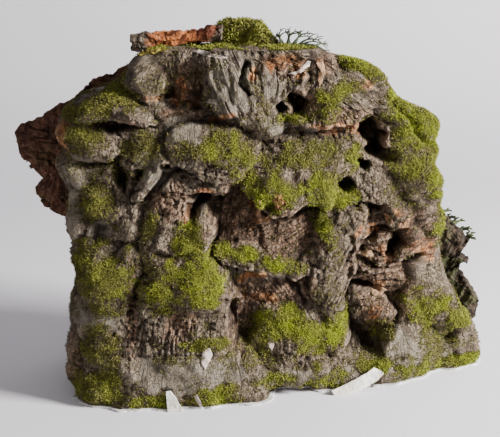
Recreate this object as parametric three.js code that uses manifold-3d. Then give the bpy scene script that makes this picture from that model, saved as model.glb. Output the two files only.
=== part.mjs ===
// A mossy slab of virgin cork bark, stood on its cut edge, with the pieces that are fixed to it.
// Millimetres, +Z up, the mossy face towards -Y. The origin is under the middle of the part, on the surface it stands on.
import * as THREE from 'three';
import { mergeVertices } from 'three/addons/utils/BufferGeometryUtils.js';
import Module from 'manifold-3d';

const wasm = await Module();
wasm.setup();

// Driving dimensions of the slab
const SHEET_THICK = 0.9; // torn white layer under the foot
const SEAT_GAP = 0.35; // clearance between pieces that touch
const SLAB_FOOT = SHEET_THICK + SEAT_GAP; // height of the slab's cut edge
const SLAB_TOP = 208; // height of the flat top
const LEAN_BACK = 40; // how far the face leans back from foot to top
const FOOT_BEVEL = 2; // how far the lowest edge is worn in
const FOOT_BEVEL_HEIGHT = 5;
const TOP_BEVEL = 2; // how far the edge of the flat top is worn
const TOP_BEVEL_HEIGHT = 5;

// Mesh fineness
const FRONT_COLUMNS = 60;
const END_COLUMNS = 9;
const BACK_COLUMNS = 10;
const ROWS = 50;
const CAP_RINGS = 3;

// The face's line on the surface, seen from above: [x, y]
const FOOT_LINE = [
  [-125, -48], [-104, -64], [-66, -65], [-27, -63], [0, -57], [45, -49],
  [81, -37], [100, -29], [117, -15], [137, 5], [150, 24], [165, 40],
];

// Left and right edges of the slab, seen from the front: [z, x]
const LEFT_EDGE = [
  [0, -112], [14, -117], [22, -113], [42, -114], [56, -112], [69, -108], [82, -111], [101, -114],
  [112, -111], [121, -111], [130, -116], [138, -119], [147, -115], [158, -118], [166, -118],
  [172, -113], [180, -105], [183, -94], [186, -84], [193, -77], [201, -72], [208, -66],
];
const RIGHT_EDGE = [
  [0, 151], [14, 151], [24, 149], [38, 139], [55, 130], [69, 126], [89, 124], [109, 122], [124, 121],
  [137, 116], [158, 115], [165, 111], [170, 105], [174, 96], [178, 89], [188, 84], [195, 76], [200, 66],
  [204, 52], [208, 43],
];
const LEFT_END_DEPTH = 30; // reach of the rounded left end
const RIGHT_END_DEPTH = 26;
const END_SQUARENESS = 0.72; // 1 is an ellipse, less is squarer
const BACK_FACE = 46; // y of the back face at the foot
const BACK_HOLLOW = 11; // how far the back is hollowed along its middle
const BACK_TAPER = 14; // how much nearer the back is at the top
const TOP_BACK_TAPER_POWER = 2;

// Raised lobes and plates of bark, each an outline seen from the front, [x, z]. lip is its height at the
// edge, crown what it gains inside over the width round, tilt what it gains per mm of x and of z
const LOBES = [
  { // the striated brow under the flat top
    outline: [[-31, 203], [-28, 188], [-26, 179], [-21, 174], [-12, 170], [0, 166], [5, 161], [11, 160],
      [16, 164], [17, 176], [23, 182], [26, 187], [32, 186], [34, 192], [32, 206], [36, 214], [-8, 214]],
    lip: 14, crown: 6, round: 12, tilt: [0.03, -0.14],
  },
  { // the grey knob at the left end of the top
    outline: [[-70, 203], [-62, 205], [-54, 199], [-52, 192], [-53, 184], [-59, 178], [-66, 181], [-71, 190]],
    lip: 5, crown: 12, round: 8, tilt: [0, 0],
  },
  { // the mossy ridge of the left shoulder
    outline: [[-98, 176], [-82, 188], [-70, 180], [-62, 173], [-56, 166], [-62, 163], [-73, 166], [-84, 169],
      [-98, 166]],
    lip: 6, crown: 9, round: 6, tilt: [0, -0.25],
  },
  { // the left lobe with its broken orange end
    outline: [[-119, 166], [-109, 169], [-102, 165], [-90, 164], [-83, 158], [-78, 150], [-81, 145], [-97, 143],
      [-110, 150], [-119, 156]],
    lip: 3, crown: 9, round: 9, tilt: [0.12, -0.2],
  },
  { // the upper pale rib of the left edge
    outline: [[-120, 145], [-112, 147], [-102, 147], [-98, 141], [-99, 133], [-103, 127], [-110, 130], [-120, 134]],
    lip: 3, crown: 4, round: 6, tilt: [0.1, 0],
  },
  { // the lower pale rib
    outline: [[-113, 115], [-108, 127], [-102, 127], [-101, 116], [-100, 100], [-107, 96], [-116, 102]],
    lip: 4, crown: 4.5, round: 6, tilt: [0, 0],
  },
  { // the moss swell inside the ribs
    outline: [[-102, 126], [-94, 131], [-86, 129], [-82, 120], [-75, 115], [-80, 109], [-93, 108], [-100, 112]],
    lip: 2, crown: 9, round: 8, tilt: [0, 0],
  },
  { // the mossy lobe between the left lobe and the wide one
    outline: [[-78, 160], [-64, 164], [-52, 161], [-50, 153], [-53, 145], [-64, 139], [-71, 136], [-76, 144]],
    lip: 4, crown: 9, round: 9, tilt: [0, -0.2],
  },
  { // the pale pipe-like rib below it
    outline: [[-54, 154], [-43, 148], [-44, 142], [-52, 139], [-56, 132], [-63, 122], [-71, 121], [-67, 130],
      [-62, 137], [-60, 144]],
    lip: 8, crown: 8, round: 5, tilt: [0, 0],
  },
  { // the wide mossy lobe under the brow
    outline: [[-51, 156], [-45, 163], [-30, 166], [-12, 163], [2, 161], [6, 153], [4, 147], [-1, 144], [-4, 138],
      [-10, 134], [-18, 133], [-30, 136], [-39, 140], [-47, 147]],
    lip: 13, crown: 7.5, round: 10, tilt: [0.04, -0.25],
  },
  { // the thin plate just under it
    outline: [[-53, 128], [-45, 136], [-39, 138], [-30, 136], [-18, 134], [-17, 128], [-26, 126], [-36, 127],
      [-45, 126]],
    lip: 9, crown: 2, round: 4, tilt: [0, -0.2],
  },
  { // the upper thumb, left of the deep recess
    outline: [[-57, 127], [-48, 128], [-38, 127], [-34, 121], [-37, 114], [-35, 109], [-27, 115], [-23, 107],
      [-24, 99], [-26, 91], [-30, 84], [-48, 81], [-62, 80], [-66, 90], [-62, 104]],
    lip: 8, crown: 6, round: 10, tilt: [0.1, -0.06],
  },
  { // the middle thumb, the widest swell
    outline: [[-67, 66], [-64, 75], [-57, 82], [-48, 85], [-36, 87], [-24, 85], [-17, 77], [-14, 66], [-14, 56],
      [-30, 57], [-57, 57], [-67, 59]],
    lip: 11, crown: 12, round: 14, tilt: [0.1, 0],
  },
  { // the lower thumb, down to the skirt
    outline: [[-70, 61], [-44, 62], [-14, 62], [-14, 48], [-15, 35], [-14, 18], [-16, 4], [-70, 4], [-70, 45]],
    lip: 10, crown: 6, round: 12, tilt: [0.06, 0.03],
  },
  { // the mossy shoulder on the left side
    outline: [[-100, 88], [-91, 90], [-82, 90], [-72, 96], [-64, 92], [-64, 84], [-66, 74], [-70, 62], [-89, 56],
      [-100, 61], [-104, 74]],
    lip: 5, crown: 9, round: 10, tilt: [0.06, -0.1],
  },
  { // the knob above it
    outline: [[-78, 118], [-68, 120], [-62, 112], [-62, 102], [-70, 96], [-80, 98], [-82, 108]],
    lip: 2, crown: 9, round: 8, tilt: [0, 0],
  },
  { // the smooth grey swell under the shoulder
    outline: [[-106, 62], [-89, 63], [-68, 62], [-66, 50], [-68, 38], [-89, 36], [-100, 37], [-108, 48]],
    lip: 6, crown: 5, round: 10, tilt: [0.1, 0],
  },
  { // the mossy foot at the left corner
    outline: [[-100, 40], [-66, 42], [-62, 31], [-62, -4], [-106, -4], [-102, 8], [-97, 24]],
    lip: 8, crown: 4, round: 10, tilt: [0.1, -0.05],
  },
  { // the rough mass right of the brow
    outline: [[34, 204], [48, 203], [57, 197], [68, 192], [75, 186], [78, 174], [76, 166], [69, 159], [60, 163],
      [48, 162], [36, 162], [26, 166], [36, 169], [37, 179], [33, 184], [35, 192]],
    lip: 7, crown: 7, round: 10, tilt: [0, -0.2],
  },
  { // the mossy shelf in the middle, sloping down to its lip
    outline: [[-4, 141], [4, 150], [17, 160], [36, 161], [52, 159], [63, 152], [66, 145], [64, 137], [60, 132],
      [50, 130], [49, 122], [46, 114], [40, 117], [32, 116], [24, 111], [14, 109], [6, 114], [2, 120], [-4, 128]],
    lip: 7, crown: 10, round: 16, tilt: [0, -0.26],
  },
  { // the mossy band over the lower recess
    outline: [[-20, 88], [-6, 93], [4, 92], [15, 86], [29, 82], [37, 88], [42, 98], [46, 92], [38, 84], [36, 73],
      [21, 74], [7, 76], [-6, 79], [-18, 82]],
    lip: 3, crown: 3, round: 5, tilt: [0.05, -0.42],
  },
  { // the grey buttress left of the right valley
    outline: [[42, 100], [53, 106], [62, 108], [70, 112], [72, 98], [67, 92], [64, 84], [64, 74], [60, 66],
      [57, 58], [57, 50], [50, 44], [44, 52], [38, 64], [36, 74], [36, 84], [40, 92]],
    lip: 7, crown: 7.5, round: 9, tilt: [0.12, 0],
  },
  { // the round knob at its foot
    outline: [[36, 74], [39, 79], [47, 78], [53, 69], [54, 60], [47, 56], [40, 61], [36, 68]],
    lip: 11, crown: 4, round: 7, tilt: [0, 0],
  },
  { // the mossy slope under the lower recess
    outline: [[8, 58], [15, 59], [29, 58], [36, 62], [46, 53], [48, 34], [48, 12], [30, 6], [4, 6], [2, 30]],
    lip: 1, crown: 10, round: 15, tilt: [0.05, -0.1],
  },
  { // the oval of moss at the valley's mouth
    outline: [[46, 50], [56, 50], [60, 39], [63, 29], [54, 25], [43, 28], [42, 40]],
    lip: 4, crown: 6, round: 8, tilt: [0, -0.05],
  },
  { // the upper plates in the valley
    outline: [[71, 108], [85, 107], [89, 95], [91, 87], [89, 78], [77, 78], [69, 88]],
    lip: -9, crown: 5, round: 9, tilt: [0.3, 0],
  },
  { // the middle mass in the valley
    outline: [[64, 86], [75, 81], [91, 79], [99, 71], [97, 58], [80, 54], [62, 64]],
    lip: -8, crown: 6, round: 10, tilt: [0.3, 0],
  },
  { // the rounded mass low in the valley
    outline: [[58, 59], [69, 60], [84, 55], [93, 45], [90, 38], [76, 39], [61, 42]],
    lip: -6, crown: 11, round: 9, tilt: [0.2, 0],
  },
  { // the broken mass between the valley and the rim
    outline: [[88, 107], [96, 107], [107, 101], [116, 92], [117, 79], [108, 75], [98, 78], [93, 76], [98, 84],
      [95, 94], [89, 98]],
    lip: 1, crown: 6, round: 8, tilt: [0, 0],
  },
  { // the mossy right rim, from the top down
    outline: [[56, 200], [64, 204], [84, 190], [90, 179], [100, 172], [112, 166], [118, 150], [122, 130],
      [124, 104], [120, 92], [112, 90], [107, 105], [100, 118], [91, 131], [83, 137], [86, 155], [85, 167],
      [77, 171], [75, 185], [68, 194]],
    lip: 5, crown: 7.5, round: 10, tilt: [0, 0],
  },
  { // the knob on the right shoulder
    outline: [[99, 172], [107, 173], [114, 165], [117, 153], [115, 142], [106, 150], [99, 158], [97, 165]],
    lip: 6, crown: 6, round: 6, tilt: [0, 0],
  },
  { // the mossy swell over the right foot
    outline: [[97, 52], [107, 62], [121, 61], [132, 46], [145, 33], [142, 25], [122, 28], [103, 36]],
    lip: 3, crown: 6, round: 10, tilt: [0, -0.05],
  },
  { // the smooth grey skirt of the right foot
    outline: [[86, 24], [96, 37], [103, 40], [122, 31], [142, 28], [154, 14], [154, -4], [100, -4], [78, -4],
      [78, 13]],
    lip: 3, crown: 6, round: 13, tilt: [0, -0.05],
  },
  { // the grey skirt of the left foot
    outline: [[-80, 26], [-66, 33], [-52, 29], [-30, 31], [-19, 36], [-2, 30], [10, 16], [10, -4], [-84, -4]],
    lip: 10, crown: 4, round: 8, tilt: [-0.02, -0.1],
  },
  { // the tan flake low on the left edge
    outline: [[-116, 34], [-104, 36], [-97, 24], [-100, 12], [-114, 12]],
    lip: 3, crown: 6, round: 6, tilt: [0, 0.1],
  },
];

// Recesses, each an outline with its depth in the middle and how much less deep it gets per mm of x and of z
const RECESSES = [
  { // the deep brown recess in the middle
    outline: [[-42, 134], [-16, 142], [0, 144], [6, 128], [4, 116], [7, 104], [14, 86], [-4, 80],
      [-32, 78], [-36, 92], [-33, 102], [-36, 110], [-44, 118]],
    depth: 17, rise: [0.34, -0.36], edge: 4,
  },
  { // the brown patch under the middle shelf
    outline: [[4, 116], [14, 120], [24, 121], [44, 123], [45, 108], [39, 93], [31, 80], [15, 80], [4, 92]],
    depth: 6, rise: [0, -0.3], edge: 4,
  },
  { // the brown hollow under the mossy band
    outline: [[-24, 90], [8, 85], [21, 84], [36, 82], [38, 68], [31, 56], [16, 55], [6, 44], [0, 30], [-10, 26],
      [-24, 30]],
    depth: 7, rise: [0.34, 0.12], edge: 4,
  },
  { // the shadowed cave between the brow and the wide lobe
    outline: [[-26, 184], [0, 176], [14, 172], [24, 166], [14, 154], [6, 142], [0, 156], [-8, 162], [-22, 166]],
    depth: 10, rise: [-0.1, 0], edge: 4,
  },
  { // the broken brown valley in the right face
    outline: [[62, 116], [86, 114], [91, 98], [99, 82], [106, 72], [100, 60], [98, 48], [96, 33], [88, 20],
      [74, 18], [62, 20], [54, 34], [48, 50], [50, 60], [53, 70], [56, 86], [60, 98]],
    depth: 16, rise: [0.42, 0], edge: 5,
  },
  { // the dark hollow between the left ridges
    outline: [[-100, 172], [-84, 173], [-62, 169], [-52, 167], [-60, 160], [-76, 157], [-92, 160]],
    depth: 12, rise: [0, 0], edge: 3,
  },
  { // the brown hollow right of the grey knob
    outline: [[-54, 200], [-30, 203], [-25, 186], [-30, 176], [-50, 174], [-58, 184]],
    depth: 6.5, rise: [0, 0.25], edge: 4,
  },
  { // where the foot is worn away
    outline: [[12, 5], [24, 10], [38, 8], [46, -6], [8, -6]],
    depth: 8, rise: [0, 0], edge: 5,
  },
];

// Holes through the bark: centre [x, z], half widths [across, up], turn in degrees, depth
const HOLES = [
  {at: [77, 154], half: [8.5, 15], turn: -28, depth: 28},
  {at: [69, 160], half: [7, 4], turn: 15, depth: 9},
  {at: [84, 144], half: [6, 8], turn: -20, depth: 9},
  {at: [-46, 184], half: [3, 4], turn: 0, depth: 7},
  {at: [-33, 176], half: [4, 2.5], turn: 0, depth: 8},
  {at: [69, 138], half: [5, 3.5], turn: 0, depth: 14},
  {at: [58, 125], half: [7.5, 5], turn: 0, depth: 20},
  {at: [30, 176], half: [7, 6.5], turn: 0, depth: 18},
  {at: [19, 173], half: [3, 5], turn: 0, depth: 9},
  {at: [91, 86], half: [4, 10], turn: 14, depth: 15},
  {at: [104, 78], half: [7, 2.5], turn: -12, depth: 8},
  {at: [-77, 135], half: [4, 9], turn: -12, depth: 16},
  {at: [-66, 137], half: [4, 2.5], turn: 20, depth: 9},
  {at: [-51, 142], half: [3, 2.5], turn: 0, depth: 10},
  {at: [-35, 114], half: [3.5, 8], turn: -25, depth: 15},
  {at: [11, 116], half: [6, 4.5], turn: 0, depth: 7},
  {at: [-90, 101], half: [5, 5], turn: 0, depth: 5},
  {at: [-20, 119], half: [4, 2.5], turn: 0, depth: 7},
  {at: [116, 29], half: [2.5, 4], turn: 20, depth: 7},
  {at: [130, 22], half: [2, 5], turn: 15, depth: 7},
  {at: [131, 10], half: [2, 4], turn: 0, depth: 6},
];

// Open furrows, each a line of [x, z] with its width and depth; a negative depth is a raised rib
const FURROWS = [
  {line: [[-31, 122], [-23, 113], [-21, 104], [-22, 95], [-24, 86], [-15, 77], [-11, 68], [-11, 54],
      [-11, 42], [-12, 34]], width: 4, depth: 3},
  {line: [[-2, 201], [-5, 194], [-3, 188], [1, 183]], width: 3, depth: 10},
  {line: [[-101, 143], [-88, 143], [-77, 146]], width: 3.5, depth: 7},
  {line: [[-66, 74], [-69, 64], [-70, 56]], width: 3.5, depth: 6},
  {line: [[-66, 31], [-50, 31], [-30, 32], [-17, 36]], width: 2, depth: 1.5},
  {line: [[22, 75], [28, 66], [33, 57]], width: 4, depth: 6},
  {line: [[-66, 72], [-56, 75], [-48, 74]], width: 2, depth: 3},
  {line: [[-6, 62], [0, 60], [8, 58]], width: 1.6, depth: 2},
  {line: [[85, 176], [91, 171], [97, 160], [104, 150]], width: 3.5, depth: 7},
  {line: [[57, 208], [56, 196]], width: 5, depth: 6},
  {line: [[66, 92], [72, 90], [80, 93]], width: 3, depth: 6},
  {line: [[62, 80], [70, 78], [80, 72]], width: 3, depth: 6},
  {line: [[58, 58], [68, 62], [80, 58]], width: 3.5, depth: 7},
  {line: [[57, 48], [62, 38], [74, 26]], width: 6, depth: 9},
  {line: [[62, 94], [60, 72], [56, 56]], width: 3, depth: 5},
  {line: [[24, 109], [34, 114], [46, 112]], width: 3, depth: 6},
  {line: [[-57, 92], [-46, 89], [-38, 91]], width: 3, depth: 4},
  {line: [[31, 205], [34, 195], [31, 188], [26, 186]], width: 3.5, depth: -4},
  {line: [[4, 118], [2, 111], [6, 105], [12, 108]], width: 3.5, depth: -5},
  {line: [[26, 166], [43, 164], [59, 161], [68, 158]], width: 3.5, depth: -2.5},
];

const mix = (a, b, t) => a + (b - a) * t;
const clamp01 = (t) => Math.min(1, Math.max(0, t));
const smooth = (a, b, v) => {
  const t = clamp01((v - a) / (b - a));
  return t * t * (3 - 2 * t);
};

// Reads a table of [key, value] pairs by straight lines between its points
function along(table, key) {
  if (key <= table[0][0]) return table[0][1];
  for (let i = 1; i < table.length; i++) {
    const [k0, v0] = table[i - 1];
    const [k1, v1] = table[i];
    if (key <= k1) return mix(v0, v1, (key - k0) / (k1 - k0));
  }
  return table[table.length - 1][1];
}

// A repeatable random number for a whole-number place in space
function hash(i, j, k) {
  const s = Math.sin(i * 127.1 + j * 311.7 + k * 74.7) * 43758.5453;
  return s - Math.floor(s);
}

// Smooth noise from -1 to 1
function noise(x, y, z) {
  const [i, j, k] = [Math.floor(x), Math.floor(y), Math.floor(z)];
  const fade = (t) => t * t * (3 - 2 * t);
  const [u, v, w] = [fade(x - i), fade(y - j), fade(z - k)];
  const row = (b, c) => mix(hash(i, j + b, k + c), hash(i + 1, j + b, k + c), u);
  const layer = (c) => mix(row(0, c), row(1, c), v);
  return 2 * mix(layer(0), layer(1), w) - 1;
}

// Distance from a point to the line between a and b
function toSegment(px, pz, [ax, az], [bx, bz]) {
  const [dx, dz] = [bx - ax, bz - az];
  const t = clamp01(((px - ax) * dx + (pz - az) * dz) / (dx * dx + dz * dz));
  return Math.hypot(px - ax - t * dx, pz - az - t * dz);
}

// How far a point is inside an outline, negative outside
function inside(outline, x, z) {
  let nearest = Infinity;
  let within = false;
  outline.forEach((a, i) => {
    const b = outline[(i + 1) % outline.length];
    nearest = Math.min(nearest, toSegment(x, z, a, b));
    if (a[1] > z !== b[1] > z && x < ((b[0] - a[0]) * (z - a[1])) / (b[1] - a[1]) + a[0]) within = !within;
  });
  return within ? nearest : -nearest;
}

const GROUND = 1.5; // how far the plain ground between the lobes stands out
const LOBE_CLIFF = 4; // how steeply a lobe's edge drops at most, in mm per mm
const LOBE_BLEND = 2; // how softly neighbouring lobes run into each other
const RAGGED = 2.3; // how far the outlines wander

const centre = (outline) => [0, 1].map((i) => outline.reduce((sum, p) => sum + p[i], 0) / outline.length);
const softMax = (a, b) => {
  const t = clamp01(0.5 + (0.5 * (a - b)) / LOBE_BLEND);
  return mix(b, a, t) + LOBE_BLEND * t * (1 - t);
};

// Height of the relief over the plain face, in mm towards the viewer
function relief(x, z) {
  const wx = x + RAGGED * noise(x / 9, 3.1, z / 9);
  const wz = z + RAGGED * noise(x / 9, 7.7, z / 9);
  let height = GROUND + 2.6 * noise(x / 26, 1.5, z / 26);
  const cliff = LOBE_CLIFF * mix(0.3, 1, smooth(-0.75, 0.25, noise(x / 18, 2.9, z / 18)));
  for (const { outline, depth, rise, edge } of RECESSES) {
    const deep = inside(outline, wx, wz);
    if (deep <= 0) continue;
    const [cx, cz] = centre(outline);
    height -= Math.max(0, depth - rise[0] * (wx - cx) - rise[1] * (wz - cz)) * smooth(0, edge, deep);
  }
  for (const { outline, lip, crown, round, tilt } of LOBES) {
    const deep = inside(outline, wx, wz);
    if (deep < -8) continue;
    const [cx, cz] = centre(outline);
    const dome = deep > 0 ? crown * (1 - Math.exp(-deep / round)) : deep * cliff;
    height = softMax(height, lip + tilt[0] * (wx - cx) + tilt[1] * (wz - cz) + dome);
  }
  for (const { at, half, turn, depth } of HOLES) {
    const a = THREE.MathUtils.degToRad(turn);
    const [dx, dz] = [wx - at[0], wz - at[1]];
    const u = (dx * Math.cos(a) - dz * Math.sin(a)) / half[0];
    const v = (dx * Math.sin(a) + dz * Math.cos(a)) / half[1];
    height -= depth * smooth(1.15, 0.45, Math.hypot(u, v));
  }
  for (const { line, width, depth } of FURROWS) {
    let nearest = Infinity;
    for (let i = 1; i < line.length; i++) nearest = Math.min(nearest, toSegment(wx, wz, line[i - 1], line[i]));
    height -= depth * smooth(width, 0, nearest);
  }
  return height + 2 * noise(x / 12, 4.5, z / 12);
}

// Plain face and back of the slab, before its relief
const faceY = (x, z) => along(FOOT_LINE, x) + LEAN_BACK * (Math.max(z, 0) / SLAB_TOP) ** 1.4;
const backY = (x, z) =>
  BACK_FACE - BACK_HOLLOW * Math.max(0, 1 - ((x - 15) / 110) ** 2) - BACK_TAPER * (z / SLAB_TOP) ** TOP_BACK_TAPER_POWER;

// The columns of one ring, from the left of the face round by the right: where each lies and which way it faces
function columns() {
  const list = [];
  for (let i = 0; i < FRONT_COLUMNS; i++) list.push({ side: 'face', t: i / FRONT_COLUMNS });
  for (let i = 0; i < END_COLUMNS; i++) list.push({ side: 'right', t: i / END_COLUMNS });
  for (let i = 0; i < BACK_COLUMNS; i++) list.push({ side: 'back', t: i / BACK_COLUMNS });
  for (let i = 0; i < END_COLUMNS; i++) list.push({ side: 'left', t: i / END_COLUMNS });
  return list;
}

// One point of the slab's skin at height z, grown outwards by grow
function skinPoint({ side, t }, z, grow) {
  const squeeze = smooth(SLAB_TOP + 30, 150, z); // the ends get slimmer towards the top
  const [reachL, reachR] = [mix(16, LEFT_END_DEPTH, squeeze), mix(16, RIGHT_END_DEPTH, squeeze)];
  const xl = along(LEFT_EDGE, z) + reachL;
  const xr = along(RIGHT_EDGE, z) - reachR;
  const isEnd = side === 'left' || side === 'right';
  const hubX = side === 'face' ? mix(xl, xr, t) : side === 'back' ? mix(xr, xl, t) : side === 'right' ? xr : xl;
  const hubY = (faceY(hubX, z) + backY(hubX, z)) / 2;
  let [x, y, outX, outY, front] = [hubX, 0, 0, 0, 0];
  if (!isEnd) {
    front = side === 'face' ? 1 : 0;
    y = front ? faceY(x, z) : backY(x, z);
    outY = front ? -1 : 1;
  } else {
    const turn = Math.PI * (side === 'right' ? t : 1 - t); // 0 at the face, pi at the back
    const bulge = (v) => Math.sign(v) * Math.abs(v) ** END_SQUARENESS;
    const reach = side === 'right' ? reachR : -reachL;
    const half = (backY(hubX, z) - faceY(hubX, z)) / 2;
    const [dx, dy] = [reach * bulge(Math.sin(turn)), -half * bulge(Math.cos(turn))];
    [x, y] = [hubX + dx, hubY + dy];
    const length = Math.hypot(dx, dy);
    [outX, outY] = [dx / length, dy / length];
    front = smooth(1.9, 0.7, turn);
  }
  const foot = FOOT_BEVEL * smooth(FOOT_BEVEL_HEIGHT, 0, z - SLAB_FOOT);
  const worn = foot + TOP_BEVEL * smooth(TOP_BEVEL_HEIGHT, 0, SLAB_TOP - z);
  const rough = 1.6 * noise(x / 14, y / 14, z / 9) + 0.9 * noise(x / 6, y / 6, z / 6);
  const sideRough = (1 - front) * (2.2 * noise(x / 20, y / 20, z / 30));
  const out = front * relief(x, z) + rough + sideRough + grow - worn;
  return new THREE.Vector3(x + outX * out, y + outY * out, z);
}

// A closed skin from rings of points, each ring counter-clockwise seen from above, lowest first
function skin(rings) {
  const count = rings[0].length;
  const points = rings.flat();
  const faces = [];
  const at = (r, c) => r * count + (c % count);
  for (let r = 0; r + 1 < rings.length; r++) {
    for (let c = 0; c < count; c++) {
      const [a, b, d, e] = [at(r, c), at(r, c + 1), at(r + 1, c + 1), at(r + 1, c)];
      if (points[a].distanceTo(points[d]) <= points[b].distanceTo(points[e])) faces.push([a, b, d], [a, d, e]);
      else faces.push([a, b, e], [b, d, e]);
    }
  }
  const cap = (ring, first, up) => {
    const flat = ring.map((p) => new THREE.Vector2(p.x, p.y));
    for (const [i, j, k] of THREE.ShapeUtils.triangulateShape(flat, [])) {
      const turn = (flat[j].x - flat[i].x) * (flat[k].y - flat[i].y) - (flat[j].y - flat[i].y) * (flat[k].x - flat[i].x);
      faces.push(turn > 0 === up ? [first + i, first + j, first + k] : [first + i, first + k, first + j]);
    }
  };
  cap(rings[0], 0, false);
  cap(rings[rings.length - 1], (rings.length - 1) * count, true);
  const geometry = new THREE.BufferGeometry().setFromPoints(points);
  geometry.setIndex(faces.flat());
  return geometry;
}

// The whole slab, grown outwards by grow
function slab(grow = 0) {
  const ring = columns();
  const rings = [];
  for (let r = 0; r < ROWS; r++) {
    const z = mix(SLAB_FOOT, SLAB_TOP, r / (ROWS - 1));
    rings.push(ring.map((c) => skinPoint(c, z, grow)));
  }
  rings[0].forEach((p) => (p.z -= grow));
  rings[ROWS - 1].forEach((p) => (p.z += grow));
  const brim = rings[ROWS - 1];
  const hubs = ring.map(({ side, t }) => {
    const [xl, xr] = [along(LEFT_EDGE, SLAB_TOP) + 16, along(RIGHT_EDGE, SLAB_TOP) - 16];
    const x = side === 'face' ? mix(xl, xr, t) : side === 'back' ? mix(xr, xl, t) : side === 'right' ? xr : xl;
    return new THREE.Vector3(x, (faceY(x, SLAB_TOP) + backY(x, SLAB_TOP)) / 2, SLAB_TOP);
  });
  for (let k = 1; k <= CAP_RINGS; k++) {
    const share = (0.85 * k) / CAP_RINGS;
    rings.push(
      brim.map((p, i) => {
        const q = p.clone().lerp(hubs[i], share);
        q.z = SLAB_TOP + grow + 2.2 * share + 0.9 * share * noise(q.x / 9, q.y / 9, 2.5);
        return q;
      }),
    );
  }
  return skin(rings);
}

// Turns a geometry into a solid that can be joined and cut
function solid(geometry) {
  const bare = geometry.index ? geometry.toNonIndexed() : geometry.clone();
  for (const name of Object.keys(bare.attributes)) if (name !== 'position') bare.deleteAttribute(name);
  const merged = mergeVertices(bare, 1e-4);
  return new wasm.Manifold(
    new wasm.Mesh({
      numProp: 3,
      vertProperties: new Float32Array(merged.attributes.position.array),
      triVerts: new Uint32Array(merged.index.array),
    }),
  );
}

// The largest body of a solid, as a geometry
function largest(made) {
  const [body] = made.decompose().sort((a, b) => b.volume() - a.volume());
  const mesh = body.getMesh();
  const geometry = new THREE.BufferGeometry();
  const positions = new Float32Array(mesh.numVert * 3);
  for (let i = 0; i < mesh.numVert; i++)
    positions.set(mesh.vertProperties.subarray(i * mesh.numProp, i * mesh.numProp + 3), i * 3);
  geometry.setAttribute('position', new THREE.BufferAttribute(positions, 3));
  geometry.setIndex(new THREE.BufferAttribute(mesh.triVerts, 1));
  return geometry;
}

// A plate of bark from its outline seen from the front, with its face and back as heights y(x, z)
const PLATE_RINGS = 5;
const PLATE_STEP = 5;
function plate(outline, face, back) {
  const rim = [];
  outline.forEach(([x0, z0], i) => {
    const [x1, z1] = outline[(i + 1) % outline.length];
    const steps = Math.max(1, Math.round(Math.hypot(x1 - x0, z1 - z0) / PLATE_STEP));
    for (let s = 0; s < steps; s++) rim.push([mix(x0, x1, s / steps), mix(z0, z1, s / steps)]);
  });
  const cx = rim.reduce((sum, p) => sum + p[0], 0) / rim.length;
  const cz = rim.reduce((sum, p) => sum + p[1], 0) / rim.length;
  const points = [];
  const faces = [];
  const sheet = (height, flip) => {
    const first = points.length;
    const tri = (a, b, c) => faces.push(flip ? [a, c, b] : [a, b, c]);
    for (let r = 0; r < PLATE_RINGS; r++) {
      const share = 1 - r / PLATE_RINGS;
      for (const [x, z] of rim) {
        const [qx, qz] = [mix(cx, x, share), mix(cz, z, share)];
        points.push(new THREE.Vector3(qx, height(qx, qz, r === 0), qz));
      }
    }
    points.push(new THREE.Vector3(cx, height(cx, cz, false), cz));
    const n = rim.length;
    for (let r = 0; r + 1 < PLATE_RINGS; r++) {
      for (let c = 0; c < n; c++) {
        const [a, b] = [first + r * n + c, first + r * n + ((c + 1) % n)];
        tri(a, b, b + n);
        tri(a, b + n, a + n);
      }
    }
    const inner = first + (PLATE_RINGS - 1) * n;
    for (let c = 0; c < n; c++) tri(inner + c, inner + ((c + 1) % n), first + PLATE_RINGS * n);
    return first;
  };
  const frontFirst = sheet(face, true);
  const backFirst = sheet(back, false);
  for (let c = 0; c < rim.length; c++) {
    const d = (c + 1) % rim.length;
    faces.push([frontFirst + c, backFirst + d, backFirst + c], [frontFirst + c, frontFirst + d, backFirst + d]);
  }
  const geometry = new THREE.BufferGeometry().setFromPoints(points);
  geometry.setIndex(faces.flat());
  return geometry;
}

// The bark piece behind the left edge
const LEFT_PIECE_OUTLINE = [
  [-126, 91], [-136, 96], [-141, 103], [-145, 112], [-140, 118], [-145, 127], [-150, 132], [-154, 141], [-155, 150],
  [-152, 156], [-143, 158], [-133, 164], [-125, 170], [-116, 174], [-104, 184], [-92, 189], [-81, 194], [-74, 188],
  [-76, 170], [-84, 150], [-92, 128], [-99, 108], [-108, 95],
];
const LEFT_PIECE_THICK = 15;
function leftPiece() {
  const middle = (x) => 36 + 0.16 * (x + 150);
  const bumps = (x, z) => 1.8 * noise(x / 8, 5.5, z / 7) + 1.1 * noise(x / 4, 8.5, z / 4);
  const swell = (x, z) => 2.5 * noise(x / 22, 9.5, z / 22);
  const half = LEFT_PIECE_THICK / 2;
  return plate(
    LEFT_PIECE_OUTLINE,
    (x, z, edge) => middle(x) - (edge ? half * 0.55 : half) - bumps(x, z) - swell(x, z),
    (x, z, edge) => middle(x) + (edge ? half * 0.55 : half) - swell(x, z),
  );
}

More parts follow.
